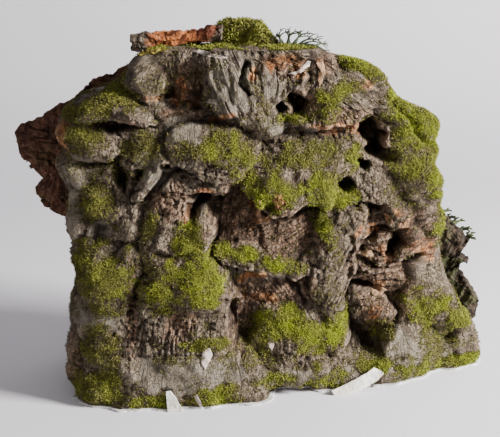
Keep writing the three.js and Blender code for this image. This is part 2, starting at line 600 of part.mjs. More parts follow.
// The bark piece behind the right edge
const RIGHT_PIECE_OUTLINE = [
  [128, 96], [137, 89], [143, 83], [151, 76], [147, 70], [145, 66], [152, 60], [145, 57], [149, 48], [154, 41],
  [159, 31], [157, 20], [153, 15], [144, 9], [132, 12], [122, 26], [112, 44], [108, 62], [112, 78], [119, 90],
];
const RIGHT_PIECE_THICK = 13;
function rightPiece() {
  const middle = (x, z) => 44 + 0.1 * (130 - x) + 3 * Math.cos((z - 50) / 22);
  const bumps = (x, z) => 1.5 * noise(x / 7, 2.5, z / 9) + 0.9 * noise(x / 4, 6.5, z / 4);
  const half = RIGHT_PIECE_THICK / 2;
  return plate(
    RIGHT_PIECE_OUTLINE,
    (x, z, edge) => middle(x, z) - (edge ? half * 0.45 : half) - bumps(x, z),
    (x, z, edge) => middle(x, z) + (edge ? half * 0.45 : half),
  );
}

// A knobbly rod along points [x, y, z, radius], closed at both ends
const ROD_SIDES = 12;
function rod(spine, rough) {
  const curve = new THREE.CatmullRomCurve3(spine.map(([x, y, z]) => new THREE.Vector3(x, y, z)));
  const steps = spine.length * 3;
  const rings = [];
  for (let s = 0; s <= steps; s++) {
    const t = s / steps;
    const centre = curve.getPointAt(t);
    const radius = along(spine.map((p, i) => [i / (spine.length - 1), p[3]]), t);
    const ring = [];
    for (let k = 0; k < ROD_SIDES; k++) {
      const a = (2 * Math.PI * k) / ROD_SIDES;
      const bump = 1 + rough * noise(s / 1.7, 3 * Math.cos(a), 3 * Math.sin(a));
      ring.push(new THREE.Vector3(centre.x, centre.y + radius * bump * Math.cos(a), centre.z + radius * bump * Math.sin(a)));
    }
    rings.push(ring);
  }
  const points = rings.flat();
  const faces = [];
  const at = (r, c) => r * ROD_SIDES + (c % ROD_SIDES);
  for (let r = 0; r < steps; r++)
    for (let c = 0; c < ROD_SIDES; c++)
      faces.push([at(r, c), at(r + 1, c + 1), at(r + 1, c)], [at(r, c), at(r, c + 1), at(r + 1, c + 1)]);
  for (let c = 1; c + 1 < ROD_SIDES; c++)
    faces.push([at(0, 0), at(0, c + 1), at(0, c)], [at(steps, 0), at(steps, c), at(steps, c + 1)]);
  const geometry = new THREE.BufferGeometry().setFromPoints(points);
  geometry.setIndex(faces.flat());
  return geometry;
}

// The small broken roll of bark that lies along the top
const ROLL_SPINE = [
  [-73.5, -5, 212, 5], [-71, -5, 212, 6.4], [-60, -4, 212.5, 6], [-49, -3, 213, 5.6], [-39, -3, 214, 5.4],
  [-31, -4, 215.5, 4.8], [-25, -5, 217, 5.6], [-17, -6, 217.5, 5],
];
const ROLL_ROUGH = 0.16;

// The cushion of moss on the top, as rings of one rounded mound: centre, half widths and height
const CUSHION = { x: -3, y: 8, halfX: 20, halfY: 13, foot: 204, top: 224.5 };
const CUSHION_RINGS = 9;
const CUSHION_COLUMNS = 26;
function cushion() {
  const rings = [];
  for (let r = 0; r < CUSHION_RINGS; r++) {
    const t = r / (CUSHION_RINGS - 1);
    const spread = (1 - (0.95 * t) ** 6) ** 0.35;
    rings.push(
      Array.from({ length: CUSHION_COLUMNS }, (_, c) => {
        const a = (2 * Math.PI * c) / CUSHION_COLUMNS;
        const lump = 1 + 0.13 * noise(2.2 * Math.cos(a) + 9, 2.2 * Math.sin(a), t * 2);
        const x = CUSHION.x + CUSHION.halfX * spread * lump * Math.cos(a);
        const y = CUSHION.y + CUSHION.halfY * spread * lump * Math.sin(a);
        const drop = smooth(6, 20, x) * 9 * t; // the cushion falls away to the right
        return new THREE.Vector3(x, y, mix(CUSHION.foot, CUSHION.top, t) - drop);
      }),
    );
  }
  return skin(rings);
}

// A four-sided twig between two points
const TWIG_RADIUS = 0.7;
const TWIG_SIDES = 4;
function twig(from, to) {
  const shape = new THREE.Shape();
  for (let k = 0; k < TWIG_SIDES; k++) {
    const a = (2 * Math.PI * k) / TWIG_SIDES;
    const corner = [TWIG_RADIUS * Math.cos(a), TWIG_RADIUS * Math.sin(a)];
    if (k) shape.lineTo(...corner);
    else shape.moveTo(...corner);
  }
  return solid(new THREE.ExtrudeGeometry(shape, { steps: 1, extrudePath: new THREE.LineCurve3(from, to) }));
}

// The branching lichen at the right end of the top: forked twigs from one root
const LICHEN_ROOT = new THREE.Vector3(25, 2, 212);
const LICHEN_ROOT_RADIUS = 2.4;
const LICHEN_LEANS = [[-1, -0.5, 0.9], [-0.3, -0.2, 1.2], [0.3, 0.4, 1.1], [0.9, -0.4, 0.7], [1.3, 0.2, 0.25]];
const LICHEN_TWIG = 4.6; // length of the lowest twigs
const LICHEN_FORKS = 2;
function lichen() {
  let seed = 7;
  const random = (low, high) => {
    seed = (seed * 16807) % 2147483647;
    return mix(low, high, seed / 2147483647);
  };
  const root = new THREE.IcosahedronGeometry(LICHEN_ROOT_RADIUS, 1);
  root.translate(...LICHEN_ROOT.toArray());
  const parts = [solid(root)];
  const grow = (from, direction, length, forks) => {
    const to = from.clone().addScaledVector(direction, length);
    parts.push(twig(from.clone().addScaledVector(direction, -TWIG_RADIUS), to));
    if (forks === 0) return;
    for (const side of [-1, 1]) {
      const turned = new THREE.Vector3(side * random(0.4, 0.8), random(-0.6, 0.6), random(-0.2, 0.3)).add(direction);
      grow(to, turned.normalize(), length * random(0.65, 0.85), forks - 1);
    }
  };
  for (const lean of LICHEN_LEANS) grow(LICHEN_ROOT, new THREE.Vector3(...lean).normalize(), LICHEN_TWIG, LICHEN_FORKS);
  return wasm.Manifold.union(parts);
}

// The torn white layer under the foot, following the slab's foot line
const SHEET_PROUD = 1.2; // how far it shows past the foot on average
function sheet() {
  const middle = new THREE.Vector2(15, 0);
  const outline = columns().map((c) => {
    const p = skinPoint(c, SLAB_FOOT, 0);
    const flat = new THREE.Vector2(p.x, p.y);
    const torn = SHEET_PROUD + 1.5 * noise(p.x / 5, p.y / 5, 11.5) + 0.9 * noise(p.x / 2, p.y / 2, 12.5);
    return flat.clone().add(flat.clone().sub(middle).setLength(FOOT_BEVEL + torn));
  });
  return new THREE.ExtrudeGeometry(new THREE.Shape(outline), { depth: SHEET_THICK, bevelEnabled: false });
}

// A thin torn chip, from its outline [x, z], leaning back on the slab's foot and following its line
const CHIP_THICK = 1;
const CHIP_LEAN = Math.tan(THREE.MathUtils.degToRad(12));
function chip(outline, foot) {
  const xs = outline.map((p) => p[0]);
  const high = Math.max(...outline.map((p) => p[1]));
  let back = Infinity;
  for (const points of foot)
    for (const p of points)
      if (p.x > Math.min(...xs) - 1 && p.x < Math.max(...xs) + 1 && p.z < high)
        back = Math.min(back, p.y - faceY(p.x, 0) - CHIP_LEAN * p.z);
  const geometry = new THREE.ExtrudeGeometry(new THREE.Shape(outline.map(([x, z]) => new THREE.Vector2(x, z))), {
    depth: CHIP_THICK,
    bevelEnabled: false,
  });
  const position = geometry.getAttribute('position');
  for (let i = 0; i < position.count; i++) {
    const [x, z, d] = [position.getX(i), position.getY(i), position.getZ(i)];
    position.setXYZ(i, x, faceY(x, 0) + back - SEAT_GAP - d + CHIP_LEAN * z, z);
  }
  return geometry;
}
const CHIP_LEFT = [[-50, 12], [-49, 0], [-39, 0], [-44, 8], [-47, 12]];
const CHIP_RIGHT = [[50, 3], [52, 0], [66, 0], [80, 6], [84, 10], [77, 14], [72, 11], [62, 7]];

const finish = (color, roughness) => new THREE.MeshStandardMaterial({ color, roughness, metalness: 0 });
const MATERIALS = {
  bark: finish(0x6f6455, 0.95),
  innerBark: finish(0x4a3226, 0.95),
  darkBark: finish(0x3b3229, 0.95),
  roll: finish(0x8a4a25, 0.9),
  moss: finish(0x7d8228, 1),
  lichen: finish(0x3d4a33, 0.9),
  chip: finish(0xd8cfc2, 0.8),
  sheet: finish(0xd9d6cf, 0.85),
};

const slabGeometry = slab();
const slabKeepOut = solid(slab(SEAT_GAP));
const wideRoll = rod(ROLL_SPINE.map(([x, y, z, radius]) => [x, y, z, radius + SEAT_GAP]), ROLL_ROUGH);
const sheetGeometry = sheet();
const footPoints = [slabGeometry, sheetGeometry].map((geometry) => {
  const position = geometry.getAttribute('position');
  return Array.from({ length: position.count }, (_, i) => new THREE.Vector3().fromBufferAttribute(position, i));
});

const group = new THREE.Group();
function place(name, geometry, material) {
  const mesh = new THREE.Mesh(geometry, material);
  mesh.name = name;
  group.add(mesh);
}

place('bark_slab', slabGeometry, MATERIALS.bark);
place('bark_piece_left', largest(solid(leftPiece()).subtract(slabKeepOut)), MATERIALS.innerBark);
place('bark_piece_right', largest(solid(rightPiece()).subtract(slabKeepOut)), MATERIALS.darkBark);
place('bark_roll', largest(solid(rod(ROLL_SPINE, ROLL_ROUGH)).subtract(slabKeepOut)), MATERIALS.roll);
place('moss_cushion', largest(solid(cushion()).subtract(slabKeepOut).subtract(solid(wideRoll))), MATERIALS.moss);
place('lichen_tuft', largest(lichen().subtract(slabKeepOut)), MATERIALS.lichen);
place('foot_sheet', sheetGeometry, MATERIALS.sheet);
place('chip_left', chip(CHIP_LEFT, footPoints), MATERIALS.chip);
place('chip_right', chip(CHIP_RIGHT, footPoints), MATERIALS.chip);

const box = new THREE.Box3().setFromObject(group);
const middle = box.getCenter(new THREE.Vector3());
group.position.set(-middle.x, -middle.y, -box.min.z);

export default group;
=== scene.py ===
import math

import bmesh
import bpy
import numpy as np
from mathutils import Matrix


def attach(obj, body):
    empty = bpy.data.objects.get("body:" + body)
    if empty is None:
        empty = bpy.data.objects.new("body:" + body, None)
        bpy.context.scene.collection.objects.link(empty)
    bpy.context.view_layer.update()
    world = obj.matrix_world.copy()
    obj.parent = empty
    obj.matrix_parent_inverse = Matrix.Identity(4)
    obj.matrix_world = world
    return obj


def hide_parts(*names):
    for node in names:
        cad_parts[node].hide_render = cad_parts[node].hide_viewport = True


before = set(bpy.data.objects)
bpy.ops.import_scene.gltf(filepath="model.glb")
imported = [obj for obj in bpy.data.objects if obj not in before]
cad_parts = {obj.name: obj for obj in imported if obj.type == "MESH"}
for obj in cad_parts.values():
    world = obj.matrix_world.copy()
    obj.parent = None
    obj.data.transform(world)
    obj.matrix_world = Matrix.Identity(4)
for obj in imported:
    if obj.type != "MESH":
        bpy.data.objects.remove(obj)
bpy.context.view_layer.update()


# The slab of virgin cork bark: one thick, rugged piece that stands on its cut edge. Its face is a pile of
# lobes and plates with deep recesses, furrows and holes between them, and its back is plain, hollowed cork.
# Sizes are in millimetres, x to the right and z up. FRAME_X and FRAME_Y carry them to the frame's origin.
MM = 0.001
FRAME_X = -2.0
FRAME_Y = 13.41
SLAB_FOOT = 1.25
SLAB_TOP = 208
LEAN_BACK = 40
FOOT_BEVEL = 2
FOOT_BEVEL_HEIGHT = 5
TOP_BEVEL = 2
TOP_BEVEL_HEIGHT = 5
LEFT_END_DEPTH = 30
RIGHT_END_DEPTH = 26
TOP_END_DEPTH = 16
END_SQUARENESS = 0.72
BACK_FACE = 46
BACK_HOLLOW = 11
HOLLOW_MIDDLE = 15
HOLLOW_HALF = 110
BACK_TAPER = 14
LOBE_CLIFF = 7
LOBE_BLEND = 1.2
LOBE_REACH = 8  # how far outside its outline a lobe's cliff runs down
GROUND = 1.5
HUMMOCKS = 2.6
RAGGED = 2.3
FINE_RAGGED = 0.9
TORN = 2.2
CRACK_CELL = 6.5
FINE_CRACK_CELL = 3.2
CRACK_DEPTH = 1.5
PLAIN_GRAIN = 0.4  # how plainly the grain shows away from the places where it is split
NOISE_STEPS = (127.1, 311.7, 74.7)
OTHER_STEPS = (269.5, 183.3)
NOISE_SPREAD = 43758.5453
FRONT_COLUMNS = 285
END_COLUMNS = 32
BACK_COLUMNS = 24
ROWS = 238
CAP_RINGS = 18
ROW_HEIGHTS = np.linspace(SLAB_FOOT, SLAB_TOP, ROWS)[:, None]

# The front line of the foot, as x and y, and the left and the right edge of the face, as z and x
FOOT_LINE = [
    (-125, -48), (-104, -64), (-66, -65), (-27, -63), (0, -57), (45, -49), (81, -37), (100, -29),
    (117, -15), (137, 5), (150, 24), (165, 40),
]
LEFT_EDGE = [
    (0, -112), (14, -117), (22, -113), (42, -114), (56, -112), (69, -108), (82, -111), (101, -114),
    (112, -111), (121, -111), (130, -116), (138, -119), (147, -115), (158, -118), (166, -118),
    (172, -113), (180, -105), (183, -94), (186, -84), (193, -77), (201, -72), (208, -66),
]
RIGHT_EDGE = [
    (0, 151), (14, 151), (24, 149), (38, 139), (55, 129), (69, 125), (89, 121), (109, 118), (124, 117),
    (137, 113), (158, 114), (165, 111), (170, 105), (174, 96), (178, 89), (188, 84), (195, 76), (200, 66),
    (204, 52), (208, 43),
]
# The lobes, each its outline as x and z, how far its lip stands out, how much higher its crown is, how soon
# it rounds over, and its tilt to the right and upwards
LOBES = [
    # the striated brow under the flat top
    ([(-31, 203), (-28, 188), (-26, 179), (-21, 174), (-12, 170), (0, 166), (5, 161), (11, 160),
      (16, 164), (17, 176), (23, 182), (26, 187), (32, 186), (34, 192), (32, 206), (36, 214), (-8, 214)],
     14, 6, 12, (0.03, -0.14)),
    # the grey knob at the left end of the top
    ([(-70, 203), (-62, 205), (-54, 199), (-52, 192), (-53, 184), (-59, 178), (-66, 181), (-71, 190)],
     5, 12, 8, (0, 0)),
    # the mossy ridge of the left shoulder
    ([(-98, 176), (-82, 188), (-70, 180), (-62, 173), (-56, 166), (-62, 163), (-73, 166), (-84, 169),
      (-98, 166)], 6, 9, 6, (0, -0.25)),
    # the left lobe with its broken orange end
    ([(-119, 166), (-109, 169), (-102, 165), (-90, 164), (-83, 158), (-78, 150), (-81, 145), (-97, 143),
      (-110, 150), (-119, 156)], 3, 9, 9, (0.12, -0.2)),
    # the upper pale rib of the left edge
    ([(-120, 145), (-112, 147), (-102, 147), (-98, 141), (-99, 133), (-103, 127), (-110, 130), (-120, 134)],
     3, 4, 6, (0.1, 0)),
    # the lower pale rib
    ([(-113, 115), (-108, 127), (-102, 127), (-101, 116), (-100, 100), (-107, 96), (-116, 102)],
     4, 4.5, 6, (0, 0)),
    # the moss swell inside the ribs
    ([(-102, 126), (-94, 131), (-86, 129), (-82, 120), (-75, 115), (-80, 109), (-93, 108), (-100, 112)],
     2, 9, 8, (0, 0)),
    # the mossy lobe between the left lobe and the wide one
    ([(-78, 160), (-64, 164), (-52, 161), (-50, 153), (-53, 145), (-64, 139), (-71, 136), (-76, 144)],
     4, 9, 9, (0, -0.2)),
    # the pale pipe-like rib below it
    ([(-54, 154), (-43, 148), (-44, 142), (-52, 139), (-56, 132), (-63, 122), (-71, 121), (-67, 130),
      (-62, 137), (-60, 144)], 8, 8, 5, (0, 0)),
    # the wide mossy lobe under the brow
    ([(-51, 156), (-45, 163), (-30, 166), (-12, 163), (2, 161), (6, 153), (4, 147), (-1, 144), (-4, 138),
      (-10, 134), (-18, 133), (-30, 136), (-39, 140), (-47, 147)], 13, 7.5, 10, (0.04, -0.25)),
    # the thin plate just under it
    ([(-53, 128), (-45, 136), (-39, 138), (-30, 136), (-18, 134), (-17, 128), (-26, 126), (-36, 127),
      (-45, 126)], 9, 2, 4, (0, -0.2)),
    # the upper thumb, left of the deep recess
    ([(-57, 127), (-48, 128), (-38, 127), (-34, 121), (-37, 114), (-35, 109), (-27, 115), (-23, 107),
      (-24, 99), (-26, 91), (-30, 84), (-48, 81), (-62, 80), (-66, 90), (-62, 104)],
     8, 6, 10, (0.1, -0.06)),
    # the middle thumb, the widest swell
    ([(-67, 66), (-64, 75), (-57, 82), (-48, 85), (-36, 87), (-24, 85), (-17, 77), (-14, 66), (-14, 56),
      (-30, 57), (-57, 57), (-67, 59)], 11, 12, 14, (0.1, 0)),
    # the lower thumb, down to the skirt
    ([(-70, 61), (-44, 62), (-14, 62), (-14, 48), (-15, 35), (-14, 18), (-16, 4), (-70, 4), (-70, 45)],
     10, 6, 12, (0.06, 0.03)),
    # the mossy shoulder on the left side
    ([(-100, 88), (-91, 90), (-82, 90), (-72, 96), (-64, 92), (-64, 84), (-66, 74), (-70, 62), (-89, 56),
      (-100, 61), (-104, 74)], 5, 9, 10, (0.06, -0.1)),
    # the knob above it
    ([(-78, 118), (-68, 120), (-62, 112), (-62, 102), (-70, 96), (-80, 98), (-82, 108)], 2, 9, 8, (0, 0)),
    # the smooth grey swell under the shoulder
    ([(-106, 62), (-89, 63), (-68, 62), (-66, 50), (-68, 38), (-89, 36), (-100, 37), (-108, 48)],
     6, 5, 10, (0.1, 0)),
    # the mossy foot at the left corner
    ([(-100, 40), (-66, 42), (-62, 31), (-62, -4), (-106, -4), (-102, 8), (-97, 24)],
     8, 4, 10, (0.1, -0.05)),
    # the rough mass right of the brow
    ([(34, 204), (48, 203), (57, 197), (68, 192), (75, 186), (78, 174), (76, 166), (69, 159), (60, 163),
      (48, 162), (36, 162), (26, 166), (36, 169), (37, 179), (33, 184), (35, 192)], 7, 7, 10, (0, -0.2)),
    # the mossy shelf in the middle, sloping down to its lip
    ([(-4, 141), (4, 150), (17, 160), (36, 161), (52, 159), (63, 152), (66, 145), (64, 137), (60, 132),
      (50, 130), (49, 122), (46, 114), (40, 117), (32, 116), (24, 111), (14, 109), (6, 114), (2, 120),
      (-4, 128)], 7, 10, 16, (0, -0.26)),
    # the mossy band over the lower recess
    ([(-20, 88), (-6, 93), (4, 92), (15, 86), (29, 82), (37, 88), (42, 98), (46, 92), (38, 84), (36, 73),
      (21, 74), (7, 76), (-6, 79), (-18, 82)], 3, 3, 5, (0.05, -0.42)),
    # the grey buttress left of the right valley
    ([(42, 100), (53, 106), (62, 108), (70, 112), (72, 98), (67, 92), (64, 84), (64, 74), (60, 66),
      (57, 58), (57, 50), (50, 44), (44, 52), (38, 64), (36, 74), (36, 84), (40, 92)],
     7, 7.5, 9, (0.12, 0)),
    # the round knob at its foot
    ([(36, 74), (39, 79), (47, 78), (53, 69), (54, 60), (47, 56), (40, 61), (36, 68)], 11, 4, 7, (0, 0)),
    # the mossy slope under the lower recess
    ([(8, 58), (15, 59), (29, 58), (36, 62), (46, 53), (48, 34), (48, 12), (30, 6), (4, 6), (2, 30)],
     1, 10, 15, (0.05, -0.1)),
    # the oval of moss at the valley's mouth
    ([(46, 50), (56, 50), (60, 39), (63, 29), (54, 25), (43, 28), (42, 40)], 4, 6, 8, (0, -0.05)),
    # the upper plates in the valley
    ([(71, 108), (85, 107), (89, 95), (91, 87), (89, 78), (77, 78), (69, 88)], -9, 5, 9, (0.3, 0)),
    # the middle mass in the valley
    ([(64, 86), (75, 81), (91, 79), (99, 71), (97, 58), (80, 54), (62, 64)], -8, 6, 10, (0.3, 0)),
    # the rounded mass low in the valley
    ([(58, 59), (69, 60), (84, 55), (93, 45), (90, 38), (76, 39), (61, 42)], -6, 11, 9, (0.2, 0)),
    # the broken mass between the valley and the rim
    ([(88, 107), (96, 107), (107, 101), (116, 92), (117, 79), (108, 75), (98, 78), (93, 76), (98, 84),
      (95, 94), (89, 98)], 1, 6, 8, (0, 0)),
    # the mossy right rim, from the top down
    ([(56, 200), (64, 204), (84, 190), (90, 179), (100, 172), (112, 166), (118, 150), (122, 130),
      (124, 104), (120, 92), (112, 90), (107, 105), (100, 118), (91, 131), (83, 137), (86, 155),
      (85, 167), (77, 171), (75, 185), (68, 194)], 5, 7.5, 10, (0, 0)),
    # the knob on the right shoulder
    ([(99, 172), (107, 173), (114, 165), (117, 153), (115, 142), (106, 150), (99, 158), (97, 165)],
     6, 6, 6, (0, 0)),
    # the mossy swell over the right foot
    ([(97, 52), (107, 62), (121, 61), (132, 46), (145, 33), (142, 25), (122, 28), (103, 36)],
     3, 6, 10, (0, -0.05)),
    # the smooth grey skirt of the right foot
    ([(86, 24), (96, 37), (103, 40), (122, 31), (142, 28), (154, 14), (154, -4), (100, -4), (78, -4),
      (78, 13)], 3, 6, 13, (0, -0.05)),
    # the grey skirt of the left foot
    ([(-80, 26), (-66, 33), (-52, 29), (-30, 31), (-19, 36), (-2, 30), (10, 16), (10, -4), (-84, -4)],
     10, 4, 8, (-0.02, -0.1)),
    # the tan flake low on the left edge
    ([(-116, 34), (-104, 36), (-97, 24), (-100, 12), (-114, 12)], 3, 6, 6, (0, 0.1)),
]
# The recesses, each its outline, its depth, how its floor rises to the right and upwards, and its edge's
# width
RECESSES = [
    # the deep brown recess in the middle
    ([(-42, 134), (-16, 142), (0, 144), (6, 128), (4, 116), (7, 104), (14, 86), (-4, 80), (-32, 78),
      (-36, 92), (-33, 102), (-36, 110), (-44, 118)], 17, (0.34, -0.36), 4),
    # the brown patch under the middle shelf
    ([(4, 116), (14, 120), (24, 121), (44, 123), (45, 108), (39, 93), (31, 80), (15, 80), (4, 92)],
     6, (0, -0.3), 4),
    # the brown hollow under the mossy band
    ([(-24, 90), (8, 85), (21, 84), (36, 82), (38, 68), (31, 56), (16, 55), (6, 44), (0, 30), (-10, 26),
      (-24, 30)], 4, (0.34, 0.12), 4),
    # the shadowed cave between the brow and the wide lobe
    ([(-26, 184), (0, 176), (14, 172), (24, 166), (14, 154), (6, 142), (0, 156), (-8, 162), (-22, 166)],
     10, (-0.1, 0), 4),
    # the broken brown valley in the right face
    ([(62, 116), (86, 114), (91, 98), (99, 82), (106, 72), (100, 60), (98, 48), (96, 33), (88, 20),
      (74, 18), (62, 20), (54, 34), (48, 50), (50, 60), (53, 70), (56, 86), (60, 98)], 16, (0.42, 0), 5),
    # the dark hollow between the left ridges
    ([(-100, 172), (-84, 173), (-62, 169), (-52, 167), (-60, 160), (-76, 157), (-92, 160)],
     12, (0, 0), 3),
    # the brown hollow right of the grey knob
    ([(-54, 200), (-30, 203), (-25, 186), (-30, 176), (-50, 174), (-58, 184)], 4, (0, 0.25), 4),
    # where the foot is worn away
    ([(12, 5), (24, 10), (38, 8), (46, -6), (8, -6)], 8, (0, 0), 5),
]
# The holes, each its middle, half widths, turn in degrees and depth
HOLES = [
    ((77, 154), (8.5, 15), -28, 28), ((69, 160), (7, 4), 15, 9), ((84, 144), (6, 8), -20, 9),
    ((-46, 184), (3, 4), 0, 7), ((-33, 176), (4, 2.5), 0, 8), ((69, 138), (5, 3.5), 0, 14),
    ((58, 125), (7.5, 5), 0, 20), ((30, 176), (7, 6.5), 0, 18), ((19, 173), (3, 5), 0, 9),
    ((91, 86), (4, 10), 14, 15), ((104, 78), (7, 2.5), -12, 8), ((-77, 135), (4, 9), -12, 16),
    ((-66, 137), (4, 2.5), 20, 9), ((-51, 142), (3, 2.5), 0, 10), ((-35, 114), (3.5, 8), -25, 15),
    ((11, 116), (6, 4.5), 0, 7), ((-90, 101), (5, 5), 0, 5), ((-20, 119), (4, 2.5), 0, 7),
    ((116, 29), (2.5, 4), 20, 7), ((130, 22), (2, 5), 15, 7), ((131, 10), (2, 4), 0, 6),
]
# The furrows, each its line, width and depth. A depth below 0 is a ridge.
FURROWS = [
    ([(-31, 122), (-23, 113), (-21, 104), (-22, 95), (-24, 86), (-15, 77), (-11, 68), (-11, 54),
      (-11, 42), (-12, 34)], 4, 3),
    ([(-2, 201), (-5, 194), (-3, 188), (1, 183)], 2.2, 7),
    ([(-101, 143), (-88, 143), (-77, 146)], 3.5, 7),
    ([(-66, 74), (-69, 64), (-70, 56)], 3.5, 6),
    ([(-66, 31), (-50, 31), (-30, 32), (-17, 36)], 2, 1.5),
    ([(22, 75), (28, 66), (33, 57)], 4, 6),
    ([(-66, 72), (-56, 75), (-48, 74)], 2, 3),
    ([(-6, 62), (0, 60), (8, 58)], 1.6, 2),
    ([(85, 176), (91, 171), (97, 160), (104, 150)], 3.5, 7),
    ([(57, 208), (56, 196)], 5, 6),
    ([(66, 92), (72, 90), (80, 93)], 3, 6),
    ([(62, 80), (70, 78), (80, 72)], 3, 6),
    ([(58, 58), (68, 62), (80, 58)], 3.5, 7),
    ([(57, 48), (62, 38), (74, 26)], 6, 9),
    ([(62, 94), (60, 72), (56, 56)], 3, 5),
    ([(24, 109), (34, 114), (46, 112)], 3, 6),
    ([(-57, 92), (-46, 89), (-38, 91)], 3, 4),
    ([(31, 205), (34, 195), (31, 188), (26, 186)], 3.5, -4),
    ([(4, 118), (2, 111), (6, 105), (12, 108)], 3.5, -5),
    ([(26, 166), (43, 164), (59, 161), (68, 158)], 3.5, -2.5),
]


def mix(a, b, t):
    return a + (b - a) * t


def smooth(a, b, v):
    t = np.clip((v - a) / (b - a), 0, 1)
    return t * t * (3 - 2 * t)


def along(table, key):
    return np.interp(key, [p[0] for p in table], [p[1] for p in table])


def grain_noise(x, y, z):
    """Smooth noise from -1 to 1, the same on every run."""
    x, y, z = np.broadcast_arrays(x, y, z)
    i, j, k = np.floor(x), np.floor(y), np.floor(z)
    u, v, w = (f * f * (3 - 2 * f) for f in (x - i, y - j, z - k))
    step_x, step_y, step_z = NOISE_STEPS

    def corner(a, b, c):
        s = np.sin((i + a) * step_x + (j + b) * step_y + (k + c) * step_z) * NOISE_SPREAD
        return s - np.floor(s)

    def layer(c):
        return mix(mix(corner(0, 0, c), corner(1, 0, c), u), mix(corner(0, 1, c), corner(1, 1, c), u), v)

    return 2 * mix(layer(0), layer(1), w) - 1


def face_noise(x, z, size, cut):
    """Noise over the face, in lumps of a size in millimetres. Each cut through it is another pattern."""
    return grain_noise(x / size, cut, z / size)


def to_line(x, z, line, closed=False):
    """Distance from each point to a line of [x, z] points."""
    nearest = np.full(x.shape, 1e9)
    ends = line[1:] + line[:1] if closed else line[1:]
    for (ax, az), (bx, bz) in zip(line, ends):
        dx, dz = bx - ax, bz - az
        t = np.clip(((x - ax) * dx + (z - az) * dz) / (dx * dx + dz * dz), 0, 1)
        nearest = np.minimum(nearest, np.hypot(x - ax - t * dx, z - az - t * dz))
    return nearest


def depth_inside(x, z, outline):
    """How far each point is inside an outline, negative outside."""
    within = np.zeros(x.shape, bool)
    for (ax, az), (bx, bz) in zip(outline, outline[1:] + outline[:1]):
        if az != bz:
            within ^= ((az > z) != (bz > z)) & (x < (bx - ax) * (z - az) / (bz - az) + ax)
    away = to_line(x, z, outline, closed=True)
    return np.where(within, away, -away)


def oval(x, z, at, half, turn=0):
    """Distance from the middle of a turned oval, 1 on its edge."""
    a = math.radians(turn)
    dx, dz = x - at[0], z - at[1]
    across, upwards = dx * math.cos(a) - dz * math.sin(a), dx * math.sin(a) + dz * math.cos(a)
    return np.hypot(across / half[0], upwards / half[1])


def on_slope(x, z, slope):
    """Points' places across and along lines that slope from level, in degrees."""
    a = math.radians(slope)
    return z * math.cos(a) - x * math.sin(a), x * math.cos(a) + z * math.sin(a)


# Places where the bark breaks into overlapping layers, each its middle, half widths, slope from level,
# spacing and depth
LAYERS = [
    ((76, 92), (15, 22), 6, 7.5, 5.0), ((78, 64), (20, 14), 10, 7, 5.0),
    ((50, 80), (12, 22), 35, 6.5, 3.0), ((-35, 120), (18, 12), -12, 6, 2.5),
    ((102, 92), (13, 18), 35, 6.5, 3.0), ((-20, 140), (34, 7), -8, 4, 2.0),
    ((-46, 44), (26, 13), 4, 9, 1.4), ((14, 186), (24, 10), 30, 6, 2.0),
    ((-80, 150), (26, 18), -20, 8, 2.5), ((62, 178), (18, 18), -30, 7, 2.5),
]


def shingles(x, z):
    """Overlapping layers, each standing out at its lower edge."""
    height = np.zeros(x.shape)
    for at, half, slope, spacing, depth in LAYERS:
        up = on_slope(x, z, slope)[0] + 5 * grain_noise(x / 9, 3.7, z / 14)
        up = up + 1.2 * grain_noise(x / 3, 1.7, z / 4)
        place = up / spacing + 0.35 * grain_noise(x / 20, 5.2, z / 6)
        share = place - np.floor(place)
        tilt = smooth(0, 0.12, share) * (1 - share)
        strength = 0.55 + 0.45 * grain_noise(x / 7, np.floor(place) * 1.7, 0.5)
        height += smooth(1.2, 0.75, oval(x, z, at, half)) * depth * strength * (tilt - 0.4)
    return height


def dug_out(height, wx, wz):
    """The face with its recesses sunk into it, each with a sloping floor."""
    for outline, depth, (rise_x, rise_z), edge in RECESSES:
        cx, cz = np.mean(outline, 0)
        floor = np.maximum(0, depth - rise_x * (wx - cx) - rise_z * (wz - cz))
        height = height - floor * smooth(0, edge, depth_inside(wx, wz, outline))
    return height


def lobed(height, wx, wz, cliff):
    """The face with its lobes on it, each blended in where it meets what lies under it."""
    for outline, lip, crown, rounding, (tilt_x, tilt_z) in LOBES:
        cx, cz = np.mean(outline, 0)
        deep = depth_inside(wx, wz, outline)
        swell = crown * (1 - np.exp(-np.maximum(deep, 0) / rounding))
        top = lip + tilt_x * (wx - cx) + tilt_z * (wz - cz) + np.where(deep > 0, swell, deep * cliff)
        t = np.clip(0.5 + 0.5 * (height - top) / LOBE_BLEND, 0, 1)
        height = np.where(deep > -LOBE_REACH, mix(top, height, t) + LOBE_BLEND * t * (1 - t), height)
    return height


def face_relief(x, z):
    """Height of the lobes, recesses, holes and furrows over the plain face."""
    wx = x + RAGGED * face_noise(x, z, 9, 3.1) + FINE_RAGGED * face_noise(x, z, 3, 5.1)
    wz = z + RAGGED * face_noise(x, z, 9, 7.7) + FINE_RAGGED * face_noise(x, z, 3, 9.7)
    cliff = LOBE_CLIFF * mix(0.3, 1, smooth(-0.75, 0.25, face_noise(x, z, 18, 2.9)))
    height = lobed(dug_out(GROUND + HUMMOCKS * face_noise(x, z, 26, 1.5), wx, wz), wx, wz, cliff)
    torn_x = wx + TORN * face_noise(x, z, 6, 12.1)
    torn_z = wz + TORN * face_noise(x, z, 6, 14.7)
    for at, half, turn, depth in HOLES:
        height -= depth * smooth(1.15, 0.45, oval(torn_x, torn_z, at, half, turn))
    for line, width, depth in FURROWS:
        height -= depth * smooth(width, 0, to_line(wx, wz, line))
    height += 2 * face_noise(x, z, 12, 4.5) + 1.3 * face_noise(x, z, 6.5, 6.5)
    return height + shingles(x, z)


